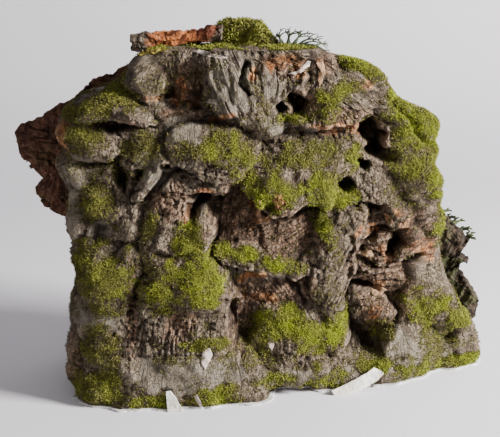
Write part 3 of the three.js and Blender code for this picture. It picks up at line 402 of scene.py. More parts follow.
# Places where the bark is split into fine lines, each its middle, half widths, the lines' slope from level,
# their spacing and depth
GRAINS = [
    ((-14, 190), (18, 24), -68, 2.2, 1.5), ((8, 190), (12, 24), -85, 2.4, 1.6),
    ((26, 198), (12, 12), 40, 2.4, 1.2), ((22, 98), (22, 14), 28, 2.2, 1.3),
    ((18, 67), (20, 10), -55, 2.2, 1.2), ((-6, 50), (8, 30), 88, 2.4, 1.1),
    ((-14, 112), (14, 22), 80, 3.0, 0.9), ((-42, 44), (28, 14), 86, 2.8, 1.4),
    ((-42, 118), (14, 10), 78, 2.2, 1.3), ((-22, 138), (30, 5), -6, 1.9, 1.2),
    ((48, 66), (12, 16), 60, 2.2, 1.1), ((78, 90), (12, 22), 4, 3.6, 2.6),
    ((78, 66), (17, 16), 8, 3.6, 2.4), ((76, 47), (18, 12), 62, 2.4, 1.4),
    ((104, 96), (12, 18), 50, 3.0, 1.4), ((36, 152), (28, 7), 12, 2.4, 1.0),
    ((-60, 190), (10, 13), 75, 2.6, 1.0), ((-62, 132), (8, 16), 52, 2.0, 0.9),
    ((56, 92), (12, 20), 55, 2.4, 1.2), ((60, 178), (18, 14), -35, 2.6, 1.0),
]


def grain_lines(x, z):
    """How plainly the bark shows its grain at each point, and the point's place across and along it."""
    strength = np.full(x.shape, PLAIN_GRAIN)
    across = x + 3 * face_noise(x, z, 16, 2.2)
    lengthways = z + 0 * x
    for at, half, slope, _, depth in GRAINS:
        ragged = oval(x, z, at, half) + 0.2 * face_noise(x, z, 6, 4.2)
        here = smooth(1.3, 0.9, ragged) * min(1, 0.45 + 0.4 * depth)
        inside = here > strength
        strength = np.maximum(strength, here)
        up, level = on_slope(x, z, slope)
        across = np.where(inside, up + 3 * face_noise(x, z, 16, 2.2), across)
        lengthways = np.where(inside, level, lengthways)
    return strength, across, lengthways


def crackle(x, z, size):
    """Distance to the cracks of a net of uneven cells, in cell widths."""
    i, j = np.floor(x / size), np.floor(z / size)
    first, second = np.full(x.shape, 9.0), np.full(x.shape, 9.0)
    for a in (-1, 0, 1):
        for b in (-1, 0, 1):
            u = (np.sin((i + a) * NOISE_STEPS[0] + (j + b) * NOISE_STEPS[1]) * NOISE_SPREAD) % 1
            v = (np.sin((i + a) * OTHER_STEPS[0] + (j + b) * OTHER_STEPS[1]) * NOISE_SPREAD) % 1
            away = np.hypot(i + a + u - x / size, j + b + v - z / size)
            second = np.where(away < first, first, np.minimum(second, away))
            first = np.minimum(first, away)
    return second - first


def bark_texture(x, y, z, plain):
    """Fine height of the bark's own surface: lumps, a net of cracks, and lines where it is split."""
    lumps = 0.9 * grain_noise(x / 5, y / 5, z / 5) + 0.5 * grain_noise(x / 2.6, y / 2.6, z / 2.6)
    wx, wz = x + 2 * face_noise(x, z, 6, 2.6), z + 2 * face_noise(x, z, 6, 8.6)
    here = smooth(-0.4, 0.5, face_noise(x, z, 16, 9.4))
    cracks = here * smooth(0.16, 0, crackle(wx, wz * 0.7, CRACK_CELL))
    cracks = cracks + 0.6 * smooth(0.2, 0, crackle(wx, wz, FINE_CRACK_CELL))
    cracks += 0.5 * here * smooth(0.5, 0.2, crackle(wx + 3, wz, CRACK_CELL))
    split = np.zeros(x.shape)
    for at, half, slope, spacing, depth in GRAINS:
        here = smooth(1.25, 0.7, oval(x, z, at, half))
        across, lengthways = on_slope(x, z, slope)
        across = across + 1.6 * face_noise(x, z, 10, 2.2)
        line = smooth(0.42, 0, np.abs(grain_noise(lengthways / (spacing * 6), 6.6, across / spacing)))
        split = np.maximum(split, here * depth * line)
    return lumps * (1 - 0.6 * plain) - CRACK_DEPTH * cracks * (1 - 0.8 * plain) - split


# Places on the face by finish: grey filler, warm inner cork, and the orange of freshly broken cork. Each is
# its middle, half widths and turn in degrees.
GREY_PLACES = [
    ((-36, 21), (36, 12), 0), ((112, 14), (26, 15), -20), ((92, 26), (10, 12), 0), ((60, 8), (22, 8), 0),
    ((-10, 190), (16, 18), 0), ((12, 190), (6, 10), 0), ((-90, 53), (15, 8), 0),
    ((-103, 135), (7, 14), 15), ((-105, 110), (5, 16), 0), ((-90, 103), (7, 6), 0),
    ((-59, 140), (8, 14), -35), ((24, 10), (20, 7), 0), ((15, 165), (8, 6), 0), ((-40, 163), (12, 8), 0),
    ((4, 74), (24, 5), 0), ((72, 192), (8, 6), 30), ((106, 165), (8, 9), 0),
]
WARM_PLACES = [
    ((-12, 110), (17, 24), 0), ((24, 99), (22, 17), 0), ((12, 66), (28, 12), 0), ((-6, 48), (8, 22), 0),
    ((80, 70), (20, 42), -8), ((-38, 188), (14, 13), 0), ((-46, 120), (15, 12), 0),
    ((104, 92), (12, 18), 0), ((-70, 58), (4, 26), 0), ((-82, 165), (18, 4), 0), ((62, 166), (16, 8), 0),
    ((-40, 171), (14, 4), 0), ((-42, 50), (10, 12), 0), ((-108, 24), (8, 16), 0), ((30, 176), (10, 9), 0),
    ((77, 153), (11, 17), -28), ((20, 200), (16, 8), 0), ((-118, 60), (6, 40), 0),
    ((48, 200), (12, 6), 0),
]
ORANGE_PLACES = [
    ((-110, 157), (5, 9), 0), ((-42, 184), (5, 7), 20), ((-33, 178), (5, 4), 0),
    ((17, 120), (4.5, 6), 15), ((2, 117), (3, 5), 20), ((8, 107), (5, 3), 0), ((67, 99), (3, 4), 0),
    ((76, 95), (4, 4), 0), ((85, 83), (4, 3), 0), ((93, 107), (5, 3), 30), ((97, 100), (5, 4), 0),
    ((105, 86), (5, 5), 0), ((112, 80), (4, 5), 0), ((17, 201), (7, 5), 0), ((31, 197), (4, 6), 0),
    ((2, 196), (3, 4), 0), ((48, 160), (9, 3), 10), ((-26, 127), (7, 3), 0), ((10, 60), (12, 3), 0),
    ((-38, 112), (3, 5), 0), ((5, 108), (3, 7), 25), ((54, 163), (14, 2), 4), ((67, 160), (5, 4), 0),
    ((97, 97), (4, 7), -20), ((109, 86), (6, 9), -15), ((83, 62), (4, 5), 0), ((2, 74), (10, 3), -18),
    ((-18, 169), (8, 2), -20), ((25, 203), (6, 3), 0), ((-59, 181), (5, 2), 0), ((70, 187), (4, 3), 0),
    ((-118, 139), (3, 4), 0), ((79, 46), (3, 7), 12), ((88, 78), (4, 4), 0),
]


def finish_of(places, x, z, fuzz):
    """How much of a finish each point of the face has, from 0 to 1, with ragged edges."""
    cover = np.zeros(x.shape)
    ragged = fuzz * face_noise(x, z, 4, 8.8) + 0.5 * fuzz * face_noise(x, z, 1.7, 1.8)
    for at, half, turn in places:
        cover = np.maximum(cover, smooth(1.15, 0.75, oval(x, z, at, half, turn) + ragged))
    return cover


def foot_y(x):
    return along(FOOT_LINE, x)


def face_y(x, z):
    return foot_y(x) + LEAN_BACK * (np.maximum(z, 0) / SLAB_TOP) ** 1.4


def back_y(x, z):
    hollow = BACK_HOLLOW * np.maximum(0, 1 - ((x - HOLLOW_MIDDLE) / HOLLOW_HALF) ** 2)
    return BACK_FACE - hollow - BACK_TAPER * (z / SLAB_TOP) ** 2


def steps(count):
    return np.arange(count) / count


def rounded_end(z, hub, reach, turn):
    """An end of the slab's rings: squarish half ovals round a hub, between the face and the back."""
    half = (back_y(hub, z) - face_y(hub, z)) / 2
    dx = reach * np.abs(np.sin(turn)) ** END_SQUARENESS
    dy = -half * np.sign(np.cos(turn)) * np.abs(np.cos(turn)) ** END_SQUARENESS
    length = np.hypot(dx, dy)
    hub_y = (back_y(hub, z) + face_y(hub, z)) / 2
    facing = smooth(1.9, 0.7, turn) + 0 * z
    return hub + dx, hub_y + dy, dx / length, dy / length, facing


def plain_rings(z):
    """The rings' x and y before any relief, the way out at each point, and how far it faces forward."""
    slim = smooth(SLAB_TOP + 30, 150, z)
    reach_left = mix(TOP_END_DEPTH, LEFT_END_DEPTH, slim)
    reach_right = mix(TOP_END_DEPTH, RIGHT_END_DEPTH, slim)
    hub_left = along(LEFT_EDGE, z) + reach_left
    hub_right = along(RIGHT_EDGE, z) - reach_right
    front_x = mix(hub_left, hub_right, steps(FRONT_COLUMNS))
    back_x = mix(hub_right, hub_left, steps(BACK_COLUMNS))
    flat = np.zeros_like
    parts = [
        (front_x, face_y(front_x, z), flat(front_x), flat(front_x) - 1, flat(front_x) + 1),
        rounded_end(z, hub_right, reach_right, math.pi * steps(END_COLUMNS)),
        (back_x, back_y(back_x, z), flat(back_x), flat(back_x) + 1, flat(back_x)),
        rounded_end(z, hub_left, -reach_left, math.pi * (1 - steps(END_COLUMNS))),
    ]
    return [np.hstack([p[n] for p in parts]) for n in range(5)]


def slab_skin():
    """The slab's rings of points from foot to top, with each point's place on the face and its finishes."""
    x, y, out_x, out_y, facing = plain_rings(ROW_HEIGHTS)
    z = ROW_HEIGHTS + 0 * x
    relief = face_relief(x, z)
    rough = 1.6 * grain_noise(x / 14, y / 14, z / 9) + 0.9 * grain_noise(x / 6, y / 6, z / 6)
    rough += (1 - facing) * 2.2 * grain_noise(x / 20, y / 20, z / 30)
    worn = FOOT_BEVEL * smooth(FOOT_BEVEL_HEIGHT, 0, z - SLAB_FOOT)
    seen = np.clip(3 * facing, 0, 1)
    grey = finish_of(GREY_PLACES, x, z, 0.35) * seen
    warm = finish_of(WARM_PLACES, x, z, 0.3) * seen
    orange = finish_of(ORANGE_PLACES, x, z, 0.45) * smooth(0.1, 0.35, facing)
    round_x = x + (1 - facing) * y
    fine = bark_texture(round_x, y, z, grey)
    out = facing * relief + rough - worn + fine * mix(0.6, 1, facing)
    out -= TOP_BEVEL * smooth(TOP_BEVEL_HEIGHT, 0, SLAB_TOP - z)
    points = np.dstack([x + out_x * out, y + out_y * out, z])
    surface = facing * relief + fine
    # hollow, crack and ridge: how far each point lies below or above the points around it. The bark's
    # material paints shade into the hollows and cracks and a highlight onto the ridges, and the moss grows
    # thinner in the hollows.
    hollow = np.clip(below_mean(surface, 9) / 5, 0, 1)
    detail = below_mean(surface, 2)
    crack, ridge = np.clip(detail / 1.5, 0, 1), np.clip(-detail / 1.5, 0, 1)
    marks = {"grey": grey, "warm": warm, "orange": orange, "hollow": hollow, "crack": crack, "ridge": ridge}
    marks["facing"] = facing
    marks["grain"], marks["across"], marks["lengthways"] = grain_lines(round_x, z)
    return points, marks, x


def below_mean(height, reach):
    """How far each point lies below the mean of the points around it, in millimetres."""
    padded = np.pad(height, ((reach, reach), (0, 0)), mode="edge")
    padded = np.concatenate([padded[:, -reach:], padded, padded[:, :reach]], axis=1)
    sums = np.cumsum(np.cumsum(np.pad(padded, ((1, 0), (1, 0))), axis=0), axis=1)
    side = 2 * reach + 1
    total = sums[side:, side:] - sums[:-side, side:] - sums[side:, :-side] + sums[:-side, :-side]
    return total / side**2 - height


def close_over(points, marks, x):
    """Adds the rings of the flat top, which run in from the brim towards the slab's middle line."""
    brim = points[-1]
    leftmost = along(LEFT_EDGE, SLAB_TOP) + TOP_END_DEPTH
    rightmost = along(RIGHT_EDGE, SLAB_TOP) - TOP_END_DEPTH
    middle_x = np.clip(x[-1], leftmost, rightmost)
    middle_y = (face_y(middle_x, SLAB_TOP) + back_y(middle_x, SLAB_TOP)) / 2
    share = 0.9 * np.arange(1, CAP_RINGS + 1)[:, None] / CAP_RINGS
    cap_x, cap_y = mix(brim[:, 0], middle_x, share), mix(brim[:, 1], middle_y, share)
    rise = 2.2 * share + 0.9 * share * grain_noise(cap_x / 9, cap_y / 9, 2.5)
    rise += 0.8 * grain_noise(cap_x / 3, cap_y / 3, 6.5) * smooth(0, 0.2, share)
    cap = np.dstack([cap_x, cap_y, SLAB_TOP + rise])
    faded = {key: np.repeat(value[-1:] * 0.5, CAP_RINGS, 0) for key, value in marks.items()}
    return np.concatenate([points, cap]), {key: np.vstack([marks[key], faded[key]]) for key in marks}


def to_frame(points):
    """Points in the slab's own millimetres, carried to the frame in metres."""
    return (points + np.array([FRAME_X, FRAME_Y, 0])) * MM


def set_marks(mesh, marks):
    """Stores a number on each point of a mesh under each mark's name, for its material and its moss."""
    for key, value in marks.items():
        mesh.attributes.new(key, "FLOAT", "POINT").data.foreach_set("value", value.astype(np.float32))


def mesh_piece(name, points, faces, marks=None):
    """A new object from points in metres and faces, with its marks."""
    mesh = bpy.data.meshes.new(name)
    mesh.from_pydata(points.tolist(), [], faces)
    set_marks(mesh, marks or {})
    mesh.shade_smooth()
    piece = bpy.data.objects.new(name, mesh)
    bpy.context.scene.collection.objects.link(piece)
    return piece


def ring_faces(rings, columns):
    """Four-sided faces between rings of points, with the lowest and the highest ring filled in."""
    r, c = np.meshgrid(np.arange(rings - 1), np.arange(columns), indexing="ij")
    after = (c + 1) % columns
    low, high = r * columns, (r + 1) * columns
    quads = np.dstack([low + c, low + after, high + after, high + c])
    last = (rings - 1) * columns
    return quads.reshape(-1, 4).tolist() + [list(range(columns))[::-1], list(range(last, last + columns))]


skin, skin_marks, face_x = slab_skin()
skin, skin_marks = close_over(skin, skin_marks, face_x)
slab = mesh_piece(
    "cork_slab",
    to_frame(skin).reshape(-1, 3),
    ring_faces(*skin.shape[:2]),
    {key: value.ravel() for key, value in skin_marks.items()},
)
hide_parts("bark_slab")
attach(slab, "root")


def add_node(tree, kind, links=None, **settings):
    """A shader node with its settings, and its inputs joined to sockets or set to values."""
    made = tree.nodes.new(kind)
    for key, value in settings.items():
        setattr(made, key, value)
    for key, value in (links or {}).items():
        if isinstance(value, bpy.types.NodeSocket):
            tree.links.new(value, made.inputs[key])
        else:
            made.inputs[key].default_value = value
    return made


def tone(tree, factor, low, high):
    """Blends two colours, each a socket or three numbers, by a factor."""
    low, high = (c if isinstance(c, bpy.types.NodeSocket) else (*c, 1) for c in (low, high))
    return add_node(tree, "ShaderNodeMix", {0: factor, 6: low, 7: high}, data_type="RGBA").outputs[2]


def own_place(tree, stretch=(1, 1, 1)):
    """The object's own coordinates, stretched."""
    place = add_node(tree, "ShaderNodeTexCoord").outputs["Object"]
    return add_node(tree, "ShaderNodeMapping", {"Vector": place, "Scale": stretch}).outputs["Vector"]


def mottle(tree, scale, low=0.35, high=0.65, detail=4):
    """Noise in the object's own coordinates, spread to 0..1. The scale is in features to a metre."""
    links = {"Vector": own_place(tree), "Scale": scale, "Detail": detail}
    return spread(tree, add_node(tree, "ShaderNodeTexNoise", links).outputs["Fac"], low, high)


def spread(tree, value, low, high):
    links = {"Value": value, "From Min": low, "From Max": high}
    return add_node(tree, "ShaderNodeMapRange", links, interpolation_type="SMOOTHSTEP").outputs["Result"]


def mark(tree, name):
    return add_node(tree, "ShaderNodeAttribute", attribute_name=name).outputs["Fac"]


def maths(tree, operation, a, b):
    return add_node(tree, "ShaderNodeMath", {0: a, 1: b}, operation=operation).outputs["Value"]


def scaled(tree, value, by):
    return maths(tree, "MULTIPLY", value, by)


def stains_and_painted_light(tree, colour, stains_and_shades):
    """A colour with real stains, or painted light and shade, laid over it: each a mark's name, the most that
    it covers, and its colour.
    """
    for name, most, overlay_tone in stains_and_shades:
        colour = tone(tree, scaled(tree, mark(tree, name), most), colour, overlay_tone)
    return colour


def matte(name, roughness, specular=0.3):
    """A matte material. Returns it, its tree and its shader."""
    material = bpy.data.materials.new(name)
    material.use_nodes = True
    shader = material.node_tree.nodes["Principled BSDF"]
    shader.inputs["Roughness"].default_value = roughness
    shader.inputs["Specular IOR Level"].default_value = specular
    return material, material.node_tree, shader


def bump_surface(tree, shader, height, strength, depth):
    """Bumps a shader's surface by a height socket, to a depth in millimetres."""
    links = {"Height": height, "Strength": strength, "Distance": depth * MM}
    bump = add_node(tree, "ShaderNodeBump", links)
    tree.links.new(bump.outputs["Normal"], shader.inputs["Normal"])


def grainy_finish(name, roughness, grain_scale, grain_depth, specular=0.3):
    """A matte material with a grainy surface. Returns it, its tree and its shader."""
    material, tree, shader = matte(name, roughness, specular)
    bump_surface(tree, shader, mottle(tree, grain_scale, 0.2, 0.8, 6), 0.8, grain_depth)
    return material, tree, shader


def cracked(tree, scale, width, stretch=(1, 1, 1)):
    """A net of hairline cracks in the object's own coordinates, 0 in a crack and 1 off it."""
    place = own_place(tree, stretch)
    sway = add_node(tree, "ShaderNodeTexNoise", {"Vector": place, "Scale": scale * 1.6, "Detail": 3.0})
    links = {0: sway.outputs["Color"], "Scale": 0.9 / scale}
    moved = add_node(tree, "ShaderNodeVectorMath", links, operation="SCALE").outputs[0]
    place = add_node(tree, "ShaderNodeVectorMath", {0: place, 1: moved}, operation="ADD").outputs[0]
    links = {"Vector": place, "Scale": scale}
    cells = add_node(tree, "ShaderNodeTexVoronoi", links, feature="DISTANCE_TO_EDGE")
    return spread(tree, cells.outputs["Distance"], 0.0, width)


# The bark's finishes, each its mottles to a metre, its dark tone and its pale tone
BARK_TONES = {
    "weathered": (90, (0.1, 0.066, 0.044), (0.27, 0.205, 0.148)),
    "warm": (160, (0.13, 0.062, 0.036), (0.4, 0.245, 0.155)),
    "grey": (130, (0.15, 0.122, 0.097), (0.31, 0.268, 0.218)),
    "orange": (300, (0.3, 0.1, 0.03), (0.62, 0.29, 0.11)),
    "film": (240, (0.05, 0.045, 0.014), (0.19, 0.18, 0.07)),
    "moss": (200, (0.028, 0.032, 0.006), (0.12, 0.125, 0.026)),
    "back": (120, (0.13, 0.075, 0.045), (0.27, 0.175, 0.11)),
}
PALE_CORK = (0.36, 0.285, 0.215)
PALE_WARM_CORK = (0.42, 0.28, 0.19)
CRACK_TONE = (0.035, 0.022, 0.015)
SPLIT_TONE = (0.04, 0.025, 0.017)
# Painted light and shade from the relief: a painted highlight on the ridges, painted shade in the fine cracks
# and in the wider hollows.
# Each is a relief mark's name, the most that its tone covers, and the tone
BARK_PAINTED_LIGHT_AND_SHADE = [
    ("ridge", 0.25, (0.4, 0.32, 0.24)), ("crack", 0.75, (0.03, 0.019, 0.012)),
    ("hollow", 0.45, (0.03, 0.018, 0.011)),
]


def split_lines(tree):
    """Fine lines along the grain, 1 in a line, drawn from the grain's marks."""
    drawn_out = scaled(tree, mark(tree, "lengthways"), 0.11)
    place = add_node(tree, "ShaderNodeCombineXYZ", {0: mark(tree, "across"), 1: drawn_out}).outputs[0]
    fibres = add_node(tree, "ShaderNodeTexNoise", {"Vector": place, "Scale": 0.62, "Detail": 4.0}).outputs[0]
    links = {"Value": fibres, "From Min": 0.5, "From Max": 0.37}
    lines = add_node(tree, "ShaderNodeMapRange", links).outputs["Result"]
    return maths(tree, "MULTIPLY", lines, mark(tree, "grain"))


def bark_colour(tree):
    """Weathered cork under its warm, grey and orange places, its green film, its moss and its plain back."""
    tones = {name: tone(tree, mottle(tree, scale), *both) for name, (scale, *both) in BARK_TONES.items()}
    pale = scaled(tree, mottle(tree, 200, 0.42, 0.75), 0.5)
    pale_warm = scaled(tree, mottle(tree, 320, 0.5, 0.65), 0.6)
    weathered = tone(tree, pale, tones["weathered"], PALE_CORK)
    warm = tone(tree, pale_warm, tones["warm"], PALE_WARM_CORK)
    colour = tone(tree, mark(tree, "warm"), weathered, warm)
    colour = tone(tree, scaled(tree, mark(tree, "grey"), 0.8), colour, tones["grey"])
    colour = tone(tree, mark(tree, "orange"), colour, tones["orange"])
    colour = stains_and_painted_light(tree, colour, [("film", 0.75, tones["film"]), ("moss", 0.8, tones["moss"])])
    back = scaled(tree, maths(tree, "SUBTRACT", 1.0, mark(tree, "facing")), 0.75)
    return tone(tree, back, colour, tones["back"])


def bark_finish():
    """Rough cork: its colours, two nets of hairline cracks, split lines, a painted highlight on its ridges
    and painted shade in its cracks and hollows.
    """
    material, tree, shader = matte("cork_bark", 0.92)
    wide, fine = cracked(tree, 170, 0.1, (1, 1, 0.7)), cracked(tree, 480, 0.16)
    split = split_lines(tree)
    crumb = scaled(tree, mottle(tree, 900, 0.3, 0.7, 6), 0.45)
    height = maths(tree, "ADD", maths(tree, "ADD", wide, fine), crumb)
    height = maths(tree, "ADD", height, scaled(tree, split, -2.2))
    bump_surface(tree, shader, height, 0.9, 0.9)
    colour = bark_colour(tree)
    plain = maths(tree, "SUBTRACT", 1.0, mark(tree, "grey"))
    for crack, most in ((wide, 0.75), (fine, 0.5)):
        depth = maths(tree, "MULTIPLY", maths(tree, "SUBTRACT", 1.0, crack), plain)
        colour = tone(tree, scaled(tree, depth, most), colour, CRACK_TONE)
    colour = tone(tree, scaled(tree, split, 0.75), colour, SPLIT_TONE)
    # a painted highlight on the ridges and painted shade in the cracks and hollows, over the bark's own
    # colours
    tree.links.new(stains_and_painted_light(tree, colour, BARK_PAINTED_LIGHT_AND_SHADE), shader.inputs["Base Color"])
    return material


slab.data.materials.append(bark_finish())


# The moss on the slab: short bright feather moss on the lobes and the right rim, olive and brown moss between
# them, and a fringe along the foot. It is grown as small tufts of three blades, thickest where light reaches.
# Each patch is its middle, half widths and turn, how thick it grows, and how bright it is from olive to lime.
MOSS_PATCHES = [
    ((-12, 151), (19, 12), 8, 0.75, 0.55), ((-40, 152), (12, 10), 0, 0.4, 0.3),
    ((-86, 177), (14, 7), -25, 0.8, 0.35), ((-74, 184), (6, 12), -20, 0.9, 0.45),
    ((-98, 155), (15, 8), 10, 0.6, 0.1), ((-92, 120), (12, 13), 0, 0.8, 0.35),
    ((-90, 140), (22, 16), 0, 0.35, 0.1), ((-45, 188), (22, 14), 0, 0.35, 0.1),
    ((60, 160), (26, 20), 0, 0.3, 0.2), ((120, 22), (24, 14), 0, 0.45, 0.4),
    ((-60, 84), (10, 20), 0, 0.35, 0.3), ((48, 60), (10, 24), 0, 0.25, 0.3),
    ((98, 120), (14, 20), 0, 0.4, 0.5), ((8, 168), (10, 14), 0, 0.3, 0.3),
    ((-66, 152), (13, 10), 0, 0.5, 0.15), ((-59, 108), (6, 14), 10, 0.6, 0.35),
    ((-34, 98), (12, 14), 0, 0.8, 0.7), ((-33, 77), (19, 11), 0, 1.0, 0.95),
    ((-54, 67), (13, 9), 0, 0.85, 0.5), ((-25, 68), (11, 10), 0, 1.0, 0.9),
    ((-84, 76), (15, 17), 0, 1.0, 0.35), ((-88, 31), (14, 14), 0, 0.8, 0.1),
    ((-92, 10), (13, 11), 0, 1.0, 0.45), ((-27, 38), (13, 4), 4, 0.7, 0.55),
    ((-54, 4), (16, 6), 0, 0.8, 0.7), ((-22, 6), (18, 7), 5, 0.95, 0.8), ((14, 11), (14, 5), 0, 0.8, 0.6),
    ((22, 124), (26, 9), 6, 1.0, 0.75), ((45, 126), (14, 9), 0, 0.95, 0.7),
    ((0, 133), (12, 6), 10, 0.75, 0.6), ((28, 146), (26, 10), 0, 0.5, 0.45),
    ((50, 178), (17, 9), -20, 0.65, 0.4), ((26, 168), (12, 3), 0, 0.9, 0.7),
    ((58, 118), (13, 6), 0, 0.9, 0.7), ((47, 100), (6, 16), -25, 0.85, 0.6),
    ((-8, 88), (15, 4), 8, 0.9, 0.75), ((22, 81), (17, 4), 8, 0.95, 0.85),
    ((20, 46), (17, 11), 0, 1.0, 0.8), ((38, 33), (13, 12), 0, 0.9, 0.8),
    ((52, 39), (8, 12), 0, 1.0, 1.0), ((82, 34), (11, 8), 0, 0.8, 0.3),
    ((112, 48), (15, 12), 20, 0.85, 0.65), ((133, 39), (11, 9), 0, 0.9, 0.75),
    ((75, 13), (14, 6), 0, 0.8, 0.6), ((104, 6), (22, 6), 5, 0.9, 0.7), ((134, 5), (16, 6), 0, 0.9, 0.75),
    ((48, 8), (20, 5), 0, 0.8, 0.6), ((0, 38), (8, 14), 0, 0.4, 0.4), ((72, 196), (14, 7), 25, 0.9, 0.75),
    ((90, 178), (10, 10), 40, 1.0, 0.85), ((102, 158), (10, 16), 30, 1.0, 1.0),
    ((112, 136), (9, 20), 12, 1.0, 0.95), ((119, 108), (6, 22), 4, 1.0, 0.9),
    ((96, 138), (10, 12), 0, 0.75, 0.6), ((-102, 170), (12, 5), 0, 0.6, 0.3),
    ((-100, 80), (8, 16), 0, 0.7, 0.5), ((60, 186), (10, 6), 0, 0.5, 0.45),
    ((-48, 30), (22, 3), 0, 0.4, 0.4), ((-12, 26), (8, 6), 0, 0.4, 0.5), ((66, 145), (6, 8), 0, 0.7, 0.6),
    ((8, 26), (10, 8), 0, 0.5, 0.5), ((114, 26), (5, 10), 0, 0.6, 0.5),
]
TUFT_HEIGHT = 1.7
TUFT_WIDTH = 0.42
TUFT_BLADES = [(0.2, 0.5, 1.0), (2.4, 0.9, 0.8), (4.3, 0.7, 0.9)]  # turn, lean and share of the height
TUFT_SIZES = (0.45, 1.25)
TUFTS_PER_PIECE = 22000
MOSS_PIECES = 4
STRAY_MOSS = 0.05
MOSS_SEED = 10
OLIVE_MOSS = ((0.07, 0.06, 0.018), (0.25, 0.22, 0.07))
LIME_MOSS = ((0.13, 0.17, 0.01), (0.42, 0.47, 0.04))
# Each blade's colour is multiplied by a grey from its root to its tip: darker at the root, brighter at the
# tip.
ROOT_TO_TIP = ((0.35, 0.35, 0.3), (1.25, 1.25, 1.2))
TOP_BRIGHTNESS = 0.55


def moss_marks(x, y, z, facing, hollow):
    """How thick and how bright the moss is at each point of the slab, and how green its film is."""
    thick = np.zeros(x.shape)
    bright = np.full(x.shape, 0.35)
    ragged = 0.55 * face_noise(x, z, 8, 3.3) + 0.4 * face_noise(x, z, 3, 5.5)
    for at, half, turn, cover, light in MOSS_PATCHES:
        here = smooth(1.45, 0.35, oval(x, z, at, half, turn) + ragged)
        bright = mix(bright, light, here)
        thick = np.maximum(thick, cover**1.2 * here)
    clumps = smooth(-0.55, 0.35, face_noise(x, z, 4.5, 2.8) + 0.5 * face_noise(x, z, 2, 4.1))
    film = np.maximum(thick**0.6, 0.3) * mix(0.5, 1, clumps)
    thick = smooth(0.02, 0.62, thick) * thick**0.5 * mix(0.4, 1, clumps)
    bright = np.clip(bright + 0.4 * face_noise(x, z, 5, 6.4), 0, 1) * smooth(0.05, 0.7, thick)
    stray = STRAY_MOSS * smooth(-0.1, 0.6, face_noise(x, z, 8, 7.3))
    thick = np.maximum(thick, stray)
    side = smooth(0.0, 0.5, grain_noise(x / 9, y / 9, z / 11)) * mix(0.2, 0.6, np.clip(4 * facing, 0, 1))
    thick = mix(side * smooth(0, 0.05, facing + 0.05), thick, np.clip(facing * 1.3, 0, 1))
    return thick * (1 - 0.75 * hollow), bright, np.maximum(film, 0.5 * (1 - facing)) * (1 - hollow)


cap_x = np.repeat(face_x[-1:], CAP_RINGS, 0)
mark_x = np.vstack([face_x, cap_x])
mark_z = np.vstack([ROW_HEIGHTS + 0 * face_x, 0 * cap_x + SLAB_TOP])
thick, bright, film = moss_marks(mark_x, skin[:, :, 1], mark_z, skin_marks["facing"], skin_marks["hollow"])
bare = np.maximum(0.95 * skin_marks["orange"], 0.35 * skin_marks["warm"])
thick, film = thick * (1 - bare), film * (1 - bare)
thick[ROWS:] = 0.5 * smooth(-0.4, 0.5, grain_noise(skin[ROWS:, :, 0] / 9, skin[ROWS:, :, 1] / 9, 4.4))
bright[ROWS:] = TOP_BRIGHTNESS
normals = np.zeros(len(slab.data.vertices) * 3)
slab.data.vertex_normals.foreach_get("vector", normals)
upward = smooth(-0.55, 0.25, normals.reshape(-1, 3)[:, 2])
thick = thick.ravel() * mix(0.35, 1, upward)
set_marks(slab.data, {"moss": thick, "brightness": bright.ravel(), "film": film.ravel()})


def tuft_mesh():
    """Three bent blades from one root, each a strip that tapers to a point."""
    points, faces, tips = [], [], []
    for turn, lean, height in TUFT_BLADES:
        first = len(points)
        for share, width in ((0, 0.5), (0.55, 0.42), (1, 0)):
            out = lean * TUFT_HEIGHT * height * share**1.6
            up = TUFT_HEIGHT * height * share * (1 - 0.25 * share * lean)
            for hand in (-1, 1) if width else (0,):
                reach = hand * width * TUFT_WIDTH
                x = math.cos(turn) * out - math.sin(turn) * reach
                y = math.sin(turn) * out + math.cos(turn) * reach
                points.append((x * MM, y * MM, up * MM))
                tips.append(share)
        faces += [(first, first + 1, first + 3, first + 2), (first + 2, first + 3, first + 4)]
    return np.array(points), faces, {"tip": np.array(tips)}


RANDOM_SOCKETS = {"FLOAT": (2, 3, 1), "FLOAT_VECTOR": (0, 1, 0)}
MOSS_INPUTS = {
    "Surface": "Geometry",
    "Per square metre": "Float",
    "Smallest": "Float",
    "Largest": "Float",
    "Seed": "Int",
}
LEAST_LEAN = (-0.55, -0.55, -0.25)
MOST_LEAN = (0.55, 0.55, 0.65)


def random_value(tree, seed, offset, kind, low, high):
    """A random number or vector for each tuft, between two values, by the seed and an offset of its own."""
    low_input, high_input, output = RANDOM_SOCKETS[kind]
    links = {low_input: low, high_input: high, "Seed": maths(tree, "ADD", seed, float(offset))}
    return add_node(tree, "FunctionNodeRandomValue", links, data_type=kind).outputs[output]


def tuft_turns(tree, seed, normal):
    """The rotation of each tuft: up from the surface with a random lean, and turned round at random."""
    lean = random_value(tree, seed, 3, "FLOAT_VECTOR", LEAST_LEAN, MOST_LEAN)
    leaning = add_node(tree, "ShaderNodeVectorMath", {0: normal, 1: lean}, operation="ADD").outputs[0]
    upright = add_node(tree, "FunctionNodeAlignRotationToVector", {"Vector": leaning}, axis="Z").outputs[0]
    turn = random_value(tree, seed, 5, "FLOAT", 0.0, 6.28)
    spin = add_node(tree, "ShaderNodeCombineXYZ", {"Z": turn}).outputs[0]
    spun = add_node(tree, "FunctionNodeEulerToRotation", {"Euler": spin}).outputs[0]
    links = {"Rotation": upright, "Rotate By": spun}
    return add_node(tree, "FunctionNodeRotateRotation", links, rotation_space="LOCAL").outputs[0]


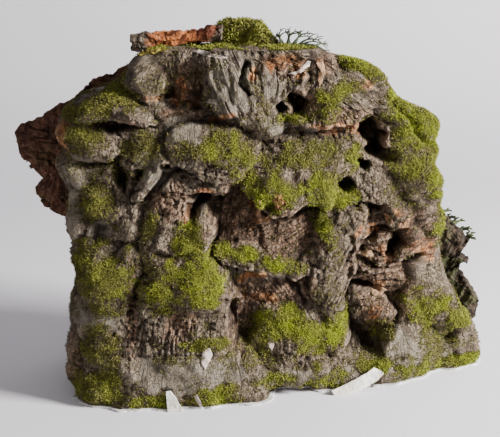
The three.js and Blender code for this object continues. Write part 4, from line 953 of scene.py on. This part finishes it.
def moss_tree(tuft, material):
    """Geometry nodes that scatter tufts over a surface, as thick as its cover mark says."""
    tree = bpy.data.node_groups.new("moss_growth", "GeometryNodeTree")
    tree.interface.new_socket(name="Geometry", in_out="OUTPUT", socket_type="NodeSocketGeometry")
    for name, kind in MOSS_INPUTS.items():
        tree.interface.new_socket(name=name, in_out="INPUT", socket_type="NodeSocket" + kind)
    source = tree.nodes.new("NodeGroupInput").outputs
    seed = source["Seed"]
    cover = add_node(tree, "GeometryNodeInputNamedAttribute", {"Name": "cover"}, data_type="FLOAT")
    dense = maths(tree, "MULTIPLY", cover.outputs["Attribute"], source["Per square metre"])
    links = {"Mesh": source["Surface"], "Density": dense, "Seed": seed}
    scatter = add_node(tree, "GeometryNodeDistributePointsOnFaces", links).outputs
    links = {
        "Points": scatter["Points"],
        "Instance": add_node(tree, "GeometryNodeObjectInfo", {"Object": tuft}).outputs["Geometry"],
        "Rotation": tuft_turns(tree, seed, scatter["Normal"]),
        "Scale": random_value(tree, seed, 7, "FLOAT", source["Smallest"], source["Largest"]),
    }
    placed = add_node(tree, "GeometryNodeInstanceOnPoints", links).outputs[0]
    links = {"Geometry": placed, "Name": "tint", "Value": random_value(tree, seed, 9, "FLOAT", 0.0, 1.0)}
    tinted = add_node(tree, "GeometryNodeStoreNamedAttribute", links, data_type="FLOAT", domain="INSTANCE")
    real = add_node(tree, "GeometryNodeRealizeInstances", {"Geometry": tinted.outputs[0]}).outputs[0]
    dressed = add_node(tree, "GeometryNodeSetMaterial", {"Geometry": real, "Material": material}).outputs[0]
    tree.links.new(dressed, tree.nodes.new("NodeGroupOutput").inputs["Geometry"])
    return tree


def moss_finish():
    """Moss from olive and brown in the old tufts to lime in the bright ones, each blade darker towards its
    root and brighter towards its tip.
    """
    material, tree, shader = grainy_finish("moss", 0.85, 900, 0.2, specular=0.2)
    olive = tone(tree, mark(tree, "tint"), *OLIVE_MOSS)
    lime = tone(tree, mark(tree, "tint"), *LIME_MOSS)
    patchy = tone(tree, scaled(tree, mottle(tree, 90), 0.4), lime, olive)
    colour = tone(tree, mark(tree, "brightness"), olive, patchy)
    links = {0: 1.0, 6: colour, 7: tone(tree, mark(tree, "tip"), *ROOT_TO_TIP)}
    shaded = add_node(tree, "ShaderNodeMix", links, data_type="RGBA", blend_type="MULTIPLY")
    tree.links.new(shaded.outputs[2], shader.inputs["Base Color"])
    return material


def grow_moss(name, surface, cover, per_square_mm, sizes, seed):
    """Grows moss on a copy of a surface where cover is set, and returns it as one plain mesh."""
    ground = surface.copy()
    ground.data = surface.data.copy()
    ground.name = name
    bpy.context.scene.collection.objects.link(ground)
    set_marks(ground.data, {"cover": cover})
    growth = ground.modifiers.new("growth", "NODES")
    growth.node_group = moss_growth
    smallest, largest = sizes
    values = {"Per square metre": per_square_mm * 1e6, "Smallest": smallest, "Largest": largest, "Seed": seed}
    for socket in moss_growth.interface.items_tree:
        if socket.name in values:
            growth[socket.identifier] = values[socket.name]
    shown = ground.evaluated_get(bpy.context.evaluated_depsgraph_get())
    grown = bpy.data.meshes.new_from_object(shown)
    bpy.data.objects.remove(ground)
    piece = bpy.data.objects.new(name, grown)
    bpy.context.scene.collection.objects.link(piece)
    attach(piece, "root")
    return piece


tuft = mesh_piece("moss_tuft", *tuft_mesh())
moss_growth = moss_tree(tuft, moss_finish())


def cover_area(surface, cover):
    """Square millimetres of moss that each point of a surface stands for."""
    mesh = surface.data
    mesh.calc_loop_triangles()
    corners = np.zeros(len(mesh.loop_triangles) * 3, np.int32)
    mesh.loop_triangles.foreach_get("vertices", corners)
    corners = corners.reshape(-1, 3)
    co = np.zeros(len(mesh.vertices) * 3)
    mesh.vertices.foreach_get("co", co)
    a, b, c = (co.reshape(-1, 3)[corners[:, n]] for n in range(3))
    area = np.linalg.norm(np.cross(b - a, c - a), axis=1) / 2 / MM**2
    return np.bincount(corners.ravel(), np.repeat(area / 3, 3), len(cover)) * cover


amount = cover_area(slab, thick)
where_x = mark_x.ravel()
order = np.argsort(where_x)
shares = np.cumsum(amount[order]) / amount.sum()
cuts = [where_x[order][np.searchsorted(shares, (n + 1) / MOSS_PIECES)] for n in range(MOSS_PIECES - 1)]
strip = np.digitize(where_x, cuts)
tufts = TUFTS_PER_PIECE / (amount.sum() / MOSS_PIECES)
for n in range(MOSS_PIECES):
    grow_moss(f"moss_{n + 1}", slab, thick * (strip == n), tufts, TUFT_SIZES, MOSS_SEED + n)


# The loose pieces of bark: a reddish slab behind the left shoulder, a dark one behind the right foot, its
# colour darkened further as painted shade, and a small curled roll on top. All are cork, split off along the
# grain, and stand or lie close against the slab.
# Each is the solid's own piece, split finer and given its grain and cracks.
DOUBLES = 1e-6  # metres
SPLIT_ROUNDS = 12
GREEN_FILM = (0.09, 0.11, 0.03)


def finer_copy(node, name, longest):
    """A copy of a CAD node's mesh, its doubles merged and its edges split down to a length in millimetres."""
    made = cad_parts[node].copy()
    made.data = made.data.copy()
    made.name = made.data.name = name
    made.modifiers.clear()
    made.data.materials.clear()
    bpy.context.scene.collection.objects.link(made)
    shape = bmesh.new()
    shape.from_mesh(made.data)
    shape.transform(made.matrix_world)
    bmesh.ops.remove_doubles(shape, verts=shape.verts, dist=DOUBLES)
    bmesh.ops.triangulate(shape, faces=shape.faces)
    for _ in range(SPLIT_ROUNDS):
        long_edges = [e for e in shape.edges if e.calc_length() > longest * MM]
        if not long_edges:
            break
        bmesh.ops.subdivide_edges(shape, edges=long_edges, cuts=1, use_grid_fill=False)
        bmesh.ops.triangulate(shape, faces=shape.faces)
    shape.to_mesh(made.data)
    shape.free()
    made.parent = None
    made.matrix_world = Matrix.Identity(4)
    made.data.shade_smooth()
    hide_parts(node)
    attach(made, "root")
    return made


def places_and_normals(made):
    """A mesh's points in the slab's millimetres, and its normals."""
    count = len(made.data.vertices)
    points, normals = np.zeros(count * 3), np.zeros(count * 3)
    made.data.vertices.foreach_get("co", points)
    made.data.vertex_normals.foreach_get("vector", normals)
    return points.reshape(-1, 3) / MM - np.array([FRAME_X, FRAME_Y, 0]), normals.reshape(-1, 3)


def roughen(made, height, marks=None):
    """Moves a mesh's points along their normals by a height in millimetres each, and gives it its marks."""
    points, normals = places_and_normals(made)
    points = points + normals * height[:, None]
    made.data.vertices.foreach_set("co", to_frame(points).ravel())
    set_marks(made.data, marks or {})
    made.data.update()


def ridged(x, y, z, scale):
    return 1 - np.abs(grain_noise(x / scale, y / scale, z / scale))


def split_bark(points, slope):
    """Height and hollows of bark split lengthways at a slope in degrees, with cross cracks."""
    x, y, z = points.T
    across, along_grain = on_slope(x, z, slope)
    ribs = ridged(along_grain / 4, y, across, 5)
    fibres = ridged(along_grain / 7, y, across, 1.8)
    breaks = smooth(0.12, 0, np.abs(grain_noise(along_grain / 5, y / 9, across / 14)))
    height = 3.2 * (ribs - 0.9) + 1.3 * (fibres - 0.8) - 1.6 * breaks
    height += 0.8 * grain_noise(x / 2.4, y / 2.4, z / 2.4)
    # The second value is how deep each point lies in a break or between ribs, where the finishes paint shade.
    return height, np.clip(breaks + 1.4 * (0.6 - ribs), 0, 1)


def split_finish(name, dark, mid, pale, green):
    """Split cork bark: a dark and a middle colour, a pale one in mottled flecks, some green film, and painted
    shade in its breaks and between its ribs.
    """
    material, tree, shader = grainy_finish(name, 0.92, 700, 0.8)
    colour = tone(tree, mottle(tree, 110), dark, mid)
    colour = tone(tree, scaled(tree, mottle(tree, 420, 0.5, 0.7), 0.6), colour, pale)
    colour = tone(tree, scaled(tree, mottle(tree, 70, 0.5, 0.62), green), colour, GREEN_FILM)
    # painted shade in the breaks and between the ribs
    colour = stains_and_painted_light(tree, colour, [("hollow", 0.85, (0.02, 0.012, 0.008))])
    tree.links.new(colour, shader.inputs["Base Color"])
    return material


left_piece = finer_copy("bark_piece_left", "left_bark", 1.3)
height, hollow = split_bark(places_and_normals(left_piece)[0], 84)
roughen(left_piece, height, {"hollow": hollow})
red_bark = split_finish("red_bark", (0.05, 0.02, 0.012), (0.14, 0.06, 0.035), (0.22, 0.13, 0.09), 0.15)
left_piece.data.materials.append(red_bark)

right_piece = finer_copy("bark_piece_right", "right_bark", 1.3)
height, hollow = split_bark(places_and_normals(right_piece)[0], 60)
roughen(right_piece, height, {"hollow": hollow})
# Its colours are its own dark cork, darkened further towards black as painted shade for the shadow this piece
# stands in.
dark_bark = split_finish("dark_bark", (0.012, 0.009, 0.006), (0.04, 0.028, 0.018), (0.12, 0.075, 0.045), 0.35)
right_piece.data.materials.append(dark_bark)

# The roll is weathered left of x -60 and on its knot at the right end, and red from x -36 on
WEATHERED_FROM, WEATHERED_TO = -60, -64
RED_FROM, RED_TO = -36, -30
KNOT_FROM, KNOT_TO = -24, -20
ROLL_MIDDLE_HEIGHT = 217
roll = finer_copy("bark_roll", "bark_roll_skin", 0.9)
roll_points = places_and_normals(roll)[0]
height, hollow = split_bark(roll_points, 4)
ragged_x = roll_points[:, 0] + 2 * grain_noise(*(roll_points / 4).T)
weathered = smooth(WEATHERED_FROM, WEATHERED_TO, ragged_x)
knot = smooth(KNOT_FROM, KNOT_TO, roll_points[:, 0] - 0.6 * (roll_points[:, 2] - ROLL_MIDDLE_HEIGHT))
roll_marks = {
    "hollow": 0.8 * hollow,
    "weathered": np.maximum(weathered, knot),
    "red": smooth(RED_FROM, RED_TO, ragged_x),
}
roughen(roll, 0.6 * height, roll_marks)


def roll_finish():
    """Orange-brown inner bark, redder to the right, weathered grey-brown at its ends, and painted shade in
    its splits.
    """
    material, tree, shader = grainy_finish("roll_bark", 0.9, 700, 0.7)
    colour = tone(tree, mottle(tree, 190), (0.11, 0.028, 0.01), (0.4, 0.125, 0.035))
    colour = tone(tree, scaled(tree, mottle(tree, 500, 0.55, 0.7), 0.5), colour, (0.5, 0.22, 0.09))
    worn = tone(tree, mottle(tree, 300), (0.035, 0.025, 0.016), (0.17, 0.13, 0.09))
    colour = stains_and_painted_light(tree, colour, [("red", 0.75, (0.09, 0.022, 0.012)), ("weathered", 1, worn)])
    # painted shade in the splits and between the ribs
    colour = stains_and_painted_light(tree, colour, [("hollow", 0.85, (0.03, 0.014, 0.008))])
    tree.links.new(colour, shader.inputs["Base Color"])
    return material


roll.data.materials.append(roll_finish())


# The moss cushion: a springy tuft of taller moss set on the top, over its own brown mat of old growth. The
# mat is a lumpy block, and the live moss is grown on it by the same tree as the slab's, with larger tufts.
CUSHION_TUFTS = 0.74  # to a square millimetre
CUSHION_SIZES = (1.0, 2.1)
CUSHION_SEED = 30
CUSHION_FOOT = 205
cushion = finer_copy("moss_cushion", "cushion_mat", 1.5)
points = places_and_normals(cushion)[0]
lumps = 1.6 * grain_noise(*(points / 6).T) + 1.0 * grain_noise(*(points / 3).T)
roughen(cushion, lumps - 1.4)


def plain_colour(name, roughness, grain_scale, grain_depth, colour_scale, both):
    """A grainy material mottled between two colours."""
    material, tree, shader = grainy_finish(name, roughness, grain_scale, grain_depth)
    tree.links.new(tone(tree, mottle(tree, colour_scale), *both), shader.inputs["Base Color"])
    return material


MAT_BROWNS = ((0.035, 0.03, 0.012), (0.14, 0.12, 0.03))
cushion.data.materials.append(plain_colour("moss_mat", 0.95, 800, 0.6, 300, MAT_BROWNS))
set_marks(cushion.data, {"brightness": 0.45 + 0.45 * grain_noise(*(points / 7).T)})
cushion_cover = smooth(CUSHION_FOOT, CUSHION_FOOT + 2, points[:, 2])
grow_moss("cushion_moss", cushion, cushion_cover, CUSHION_TUFTS, CUSHION_SIZES, CUSHION_SEED)


# The lichen tuft: dark green forked twigs that taper and arch out over the top's right end. They are rooted
# side by side in the moss on the top. Each stem is its lean to the right, its lean back and its length.
LICHEN_ROOT = (18, 0, 209.5)
LICHEN_SPREAD = 17  # how far the roots run along the top
LICHEN_GREENS = ((0.02, 0.03, 0.016), (0.09, 0.12, 0.06))
LICHEN_SEED = 8
STEM_RINGS = 4
STEM_SIDES = 5
LAST_FORK = 2
FIRST_SAG = np.array([0.15, 0, -0.2])
LATER_SAG = np.array([0.35, 0, -0.3])
LICHEN_STEMS = [
    (-50, 6, 11), (-18, -10, 15), (-34, 12, 17), (4, -14, 17), (-14, 10, 15), (22, -8, 14), (10, 14, 15),
    (44, -6, 15), (58, 8, 15), (78, -8, 14),
]


def forked_stem(points, faces, start, direction, length, radius, depth, draw):
    """Adds a bent tapered stem and its forks to a list of points and faces."""
    direction = np.array(direction) / np.linalg.norm(direction)
    sideways = np.cross(direction, (0.3, 1, 0.1))
    sideways /= np.linalg.norm(sideways)
    other = np.cross(direction, sideways)
    sag = length * (FIRST_SAG if depth == 0 else LATER_SAG)
    first = len(points)
    for share in np.arange(STEM_RINGS + 1) / STEM_RINGS:
        middle = start + direction * length * share + sag * share**2
        thick = radius * (1 - 0.25 * share)
        for turn in 2 * math.pi * np.arange(STEM_SIDES) / STEM_SIDES:
            points.append(middle + thick * (math.cos(turn) * sideways + math.sin(turn) * other))
    for low in range(first, first + STEM_RINGS * STEM_SIDES, STEM_SIDES):
        for side in range(STEM_SIDES):
            a, b = low + side, low + (side + 1) % STEM_SIDES
            faces.append((a, b, b + STEM_SIDES, a + STEM_SIDES))
    last = first + STEM_RINGS * STEM_SIDES
    faces.append(tuple(range(first, first + STEM_SIDES))[::-1])
    faces.append(tuple(range(last, last + STEM_SIDES)))
    if depth < LAST_FORK:
        for hand in (-1, 1):
            bend = sideways * hand * draw.uniform(0.4, 1.0) + other * draw.uniform(-0.8, 0.8)
            forked_stem(points, faces, middle, direction + bend, length * 0.62, thick * 0.9, depth + 1, draw)


def lichen():
    """The whole tuft as one piece, its stems rooted in a row."""
    draw = np.random.default_rng(LICHEN_SEED)
    points, faces = [], []
    for n, (lean, back, length) in enumerate(LICHEN_STEMS):
        a = math.radians(lean)
        direction = (math.sin(a), math.sin(math.radians(back)), math.cos(a))
        root = np.array(LICHEN_ROOT) + (LICHEN_SPREAD * n / len(LICHEN_STEMS), 0, 0)
        forked_stem(points, faces, root, direction, length * 0.5, draw.uniform(0.8, 1.15), 0, draw)
    return mesh_piece("lichen", to_frame(np.array(points)), faces)


lichen_tuft = lichen()
lichen_tuft.data.materials.append(plain_colour("lichen_green", 0.8, 900, 0.2, 260, LICHEN_GREENS))
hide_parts("lichen_tuft")
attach(lichen_tuft, "root")


# The sheet under the foot: thin white card, stuck under the cut edge of the bark and torn off raggedly just
# outside it, so that a narrow pale edge shows all round.
SHEET_TEAR = (0.4, 3.2)
SHEET_LOW = 0.05
SHEET_TOP = 1.0
CARD_WHITES = ((0.5, 0.48, 0.45), (0.8, 0.78, 0.76))


def torn_sheet():
    """A flat sheet that follows the slab's foot, its edge torn from nearly flush to a few millimetres out."""
    foot = skin[0][:, :2]
    ahead, behind = np.roll(foot, -1, 0), np.roll(foot, 1, 0)
    tangent = ahead - behind
    outward = np.column_stack([tangent[:, 1], -tangent[:, 0]]) / np.linalg.norm(tangent, axis=1)[:, None]
    x, y = foot.T
    tear = 0.5 + 0.5 * grain_noise(x / 9, y / 9, 0.5) + 0.3 * grain_noise(x / 2.2, y / 2.2, 3.5)
    edge = foot + outward * mix(*SHEET_TEAR, np.clip(tear, 0, 1))[:, None]
    rings = [np.column_stack([edge, 0 * x + z]) for z in (SHEET_LOW, SHEET_TOP)]
    count = len(foot)
    points = to_frame(np.vstack(rings))
    faces = [(n, (n + 1) % count, (n + 1) % count + count, n + count) for n in range(count)]
    faces += [tuple(range(count))[::-1], tuple(range(count, 2 * count))]
    return mesh_piece("torn_card", points, faces)


def card_finish(name, both):
    """Plain torn card or dry bark flakes."""
    return plain_colour(name, 0.85, 500, 0.15, 120, both)


card = torn_sheet()
card.data.shade_flat()
card.data.materials.append(card_finish("white_card", CARD_WHITES))
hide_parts("foot_sheet")
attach(card, "root")


# Small scraps caught on the face: white ones torn from the layer under the foot, and tan flakes of inner bark
# that have split loose. Each is its outline on the face, and how far it stands out.
WHITE_SCRAPS = [
    ([(-36, 207.5), (-31, 208.5), (-24, 207.5), (-17, 205.5), (-13, 205), (-17, 203.8), (-23, 205),
      (-30, 206)], 0.6),
    ([(23, 195), (27, 196), (31, 198), (35, 202), (37, 201), (36, 198), (32, 196.4), (27, 194.4)], 0.9),
    ([(-28, 35), (-24, 37), (-22, 33), (-24, 29), (-27, 24), (-29, 29)], 1.0),
    ([(-33, 9), (-31, 10), (-29, 5), (-28, 0), (-30, 1), (-32, 5)], 0.8),
    ([(11, 41), (14, 39), (15, 34), (13, 30), (11, 35)], 0.8),
    ([(108, 72), (112, 74), (116, 70), (114, 66), (110, 67)], 0.6),
]
TAN_SCRAPS = [
    ([(41, 204), (44, 203), (46, 196), (44, 190), (42, 186), (41, 191), (43, 197), (40, 201)], 1.2),
    ([(3, 121), (6, 122), (8, 117), (6, 112), (8, 107), (5, 106), (3, 111), (2, 117)], 1.0),
    ([(84, 106), (88, 105), (90, 101), (86, 101)], 1.0),
    ([(70, 82), (76, 83), (78, 80), (73, 78)], 1.0),
    ([(76, 59), (83, 60), (87, 57), (83, 55), (77, 56)], 1.0),
    ([(29, 176), (33, 177), (35, 173), (31, 171)], 0.8),
]
SCRAP_THICK = 0.7
SCRAP_RINGS = 4
SCRAP_STEP = 0.9
SCRAP_RAGGED = 0.5
SCRAP_CURL = 0.5
SCRAP_WHITES = ((0.34, 0.27, 0.22), (0.6, 0.52, 0.46))
SCRAP_TANS = ((0.1, 0.05, 0.028), (0.36, 0.22, 0.12))
front = skin[:ROWS, :FRONT_COLUMNS]


def face_at(x, z):
    """How far forward the slab's face stands round a place."""
    row = int(np.clip(round((z - SLAB_FOOT) / (SLAB_TOP - SLAB_FOOT) * (ROWS - 1)), 1, ROWS - 2))
    column = int(np.clip(np.argmin(np.abs(front[row, :, 0] - x)), 1, FRONT_COLUMNS - 2))
    return front[row - 1 : row + 2, column - 1 : column + 2, 1].mean()


def ragged_rim(outline):
    """A flake's outline in short steps, with a ragged edge."""
    rim = []
    for (x0, z0), (x1, z1) in zip(outline, outline[1:] + outline[:1]):
        count = max(1, round(math.hypot(x1 - x0, z1 - z0) / SCRAP_STEP))
        rim += [(mix(x0, x1, n / count), mix(z0, z1, n / count)) for n in range(count)]
    rim = np.array(rim)
    sway = [grain_noise(*(rim.T / 1.1), cut + 0 * rim[:, 0]) for cut in (0.5, 1.5)]
    return rim + SCRAP_RAGGED * np.column_stack(sway)


def flake(outline, stand):
    """Points and faces of a flake that follows the face. Its front and its back are rings that close in."""
    rim = ragged_rim(outline)
    middle, count = rim.mean(0), len(rim)
    points = []
    for back in (0, SCRAP_THICK):
        for ring in range(SCRAP_RINGS):
            for x, z in mix(rim, middle, ring / SCRAP_RINGS):
                points.append((x, face_at(x, z) - stand - SCRAP_CURL * face_noise(x, z, 2, 4.4) + back, z))
        points.append((middle[0], face_at(*middle) - stand + back, middle[1]))
    after = [(n + 1) % count for n in range(count)]
    side = SCRAP_RINGS * count + 1
    faces = []
    for start, way in ((0, -1), (side, 1)):
        for low in range(start, start + (SCRAP_RINGS - 1) * count, count):
            high = low + count
            faces += [(low + n, low + m, high + m, high + n)[::way] for n, m in enumerate(after)]
        inner = start + (SCRAP_RINGS - 1) * count
        faces += [(inner + n, inner + m, start + side - 1)[::way] for n, m in enumerate(after)]
    return points, faces + [(n, m, m + side, n + side) for n, m in enumerate(after)]


def torn_scraps(name, scraps):
    """Thin ragged flakes on the face, as one piece."""
    points, faces = [], []
    for outline, stand in scraps:
        first = len(points)
        flake_points, flake_faces = flake(outline, stand)
        points += flake_points
        faces += [tuple(first + n for n in face) for face in flake_faces]
    made = mesh_piece(name, to_frame(np.array(points)), faces)
    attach(made, "root")
    return made


white = torn_scraps("white_scraps", WHITE_SCRAPS)
white.data.materials.append(card_finish("scrap_white", SCRAP_WHITES))
tan = torn_scraps("tan_scraps", TAN_SCRAPS)
tan.data.materials.append(card_finish("scrap_tan", SCRAP_TANS))


# Two small sprigs: short yellow moss under the roll's left end, and dark leaves on top of the right bark
# piece. Both are short forked stems that grow from a few roots in a row.
SPRIGS_PER_ROOT = 4
SPRIG_SEED = 5
YELLOWS = ((0.2, 0.15, 0.02), (0.55, 0.45, 0.08))
DARK_GREENS = ((0.012, 0.018, 0.006), (0.06, 0.075, 0.025))
YELLOW_PLACES = [(-66, 205), (-62, 207), (-58, 206), (-54, 208)]  # x and z
LEAF_ROOTS = [(131, 47, 92), (136, 47, 88), (141, 46, 85), (146, 45, 81), (150, 44, 76)]


def sprigs(name, roots, length, thick, both):
    """Short stems from each root, each with one pair of forks below its last, as one piece."""
    draw = np.random.default_rng(SPRIG_SEED)
    points, faces = [], []
    for root in np.repeat(np.array(roots, float), SPRIGS_PER_ROOT, 0):
        direction = np.array((draw.uniform(-1, 1), draw.uniform(-0.9, 0.3), draw.uniform(0.2, 1)))
        forked_stem(points, faces, root, direction, length * draw.uniform(0.7, 1.2), thick, 1, draw)
    made = mesh_piece(name, to_frame(np.array(points)), faces)
    made.data.materials.append(card_finish(name + "_colour", both))
    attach(made, "root")


yellow_roots = [(x, face_at(x, 205) + 2, z) for x, z in YELLOW_PLACES]
sprigs("yellow_sprigs", yellow_roots, 3.2, 0.4, YELLOWS)
sprigs("dark_leaves", LEAF_ROOTS, 4.0, 1.2, DARK_GREENS)


# The two white chips at the foot: torn card a millimetre or two thick that has come off the sheet under the
# foot and leans on the slab. Each is the solid's own piece, split finer and roughened above the floor.
CHIP_WHITES = ((0.5, 0.47, 0.4), (0.78, 0.75, 0.68))
for node, name in (("chip_left", "left_chip"), ("chip_right", "right_chip")):
    chip = finer_copy(node, name, 0.8)
    points = places_and_normals(chip)[0]
    roughen(chip, (0.25 * grain_noise(*(points / 1.5).T) - 0.1) * smooth(0.2, 1.5, points[:, 2]))
    chip.data.materials.append(card_finish(name + "_white", CHIP_WHITES))


# The stage: a plain pale floor that curves up into a pale backdrop, a soft light from the upper right, a weak
# fill from the left, and the camera, which looks slightly down at the face.
CAMERA_PLACE = (0, -706, 262)
CAMERA_TILT = 77
CAMERA_LENS = 81
CAMERA_SENSOR = 36
AIM_HEIGHT = 0.1
BACKDROP_PROFILE = [  # y and z in metres
    (-3.0, 0.0), (0.6, 0.0), (0.75, 0.01), (0.86, 0.05), (0.93, 0.12), (0.96, 0.24), (0.96, 2.6),
]
BACKDROP_HALF_WIDTH = 4
BACKDROP_COLOUR = (0.74, 0.72, 0.75, 1)
ROOM_COLOUR = (0.85, 0.88, 0.95, 1)
ROOM_LIGHT = 0.3


def backdrop():
    sides = (-BACKDROP_HALF_WIDTH, BACKDROP_HALF_WIDTH)
    points = np.array([(x, y, z) for y, z in BACKDROP_PROFILE for x in sides])
    faces = [(2 * n, 2 * n + 1, 2 * n + 3, 2 * n + 2) for n in range(len(BACKDROP_PROFILE) - 1)]
    made = mesh_piece("backdrop", points, faces)
    material, _, shader = matte("pale_paper", 0.9, specular=0.5)
    shader.inputs["Base Color"].default_value = BACKDROP_COLOUR
    made.data.materials.append(material)
    return made


backdrop()


def soft_light(name, place, size, power, colour):
    lamp = bpy.data.lights.new(name, "AREA")
    lamp.size = size
    lamp.energy = power
    lamp.color = colour
    made = bpy.data.objects.new(name, lamp)
    made.location = place
    bpy.context.scene.collection.objects.link(made)
    aim = slab.location - made.location
    aim.z += AIM_HEIGHT
    made.rotation_euler = aim.to_track_quat("-Z", "Y").to_euler()


soft_light("window", place=(1.1, -0.4, 0.55), size=0.35, power=68, colour=(1.0, 0.98, 0.96))
soft_light("fill", place=(-0.9, -0.9, 0.5), size=1.2, power=1.5, colour=(1.0, 0.88, 0.75))
world = bpy.data.worlds.new("room")
bpy.context.scene.world = world
world.use_nodes = True
world.node_tree.nodes["Background"].inputs["Color"].default_value = ROOM_COLOUR
world.node_tree.nodes["Background"].inputs["Strength"].default_value = ROOM_LIGHT

camera = bpy.data.objects.new("camera", bpy.data.cameras.new("camera"))
camera.data.lens = CAMERA_LENS
camera.data.sensor_width = CAMERA_SENSOR
camera.location = to_frame(np.array(CAMERA_PLACE, float))
camera.rotation_euler = (math.radians(CAMERA_TILT), 0, 0)
bpy.context.scene.collection.objects.link(camera)
bpy.context.scene.camera = camera

bpy.data.objects.remove(tuft)
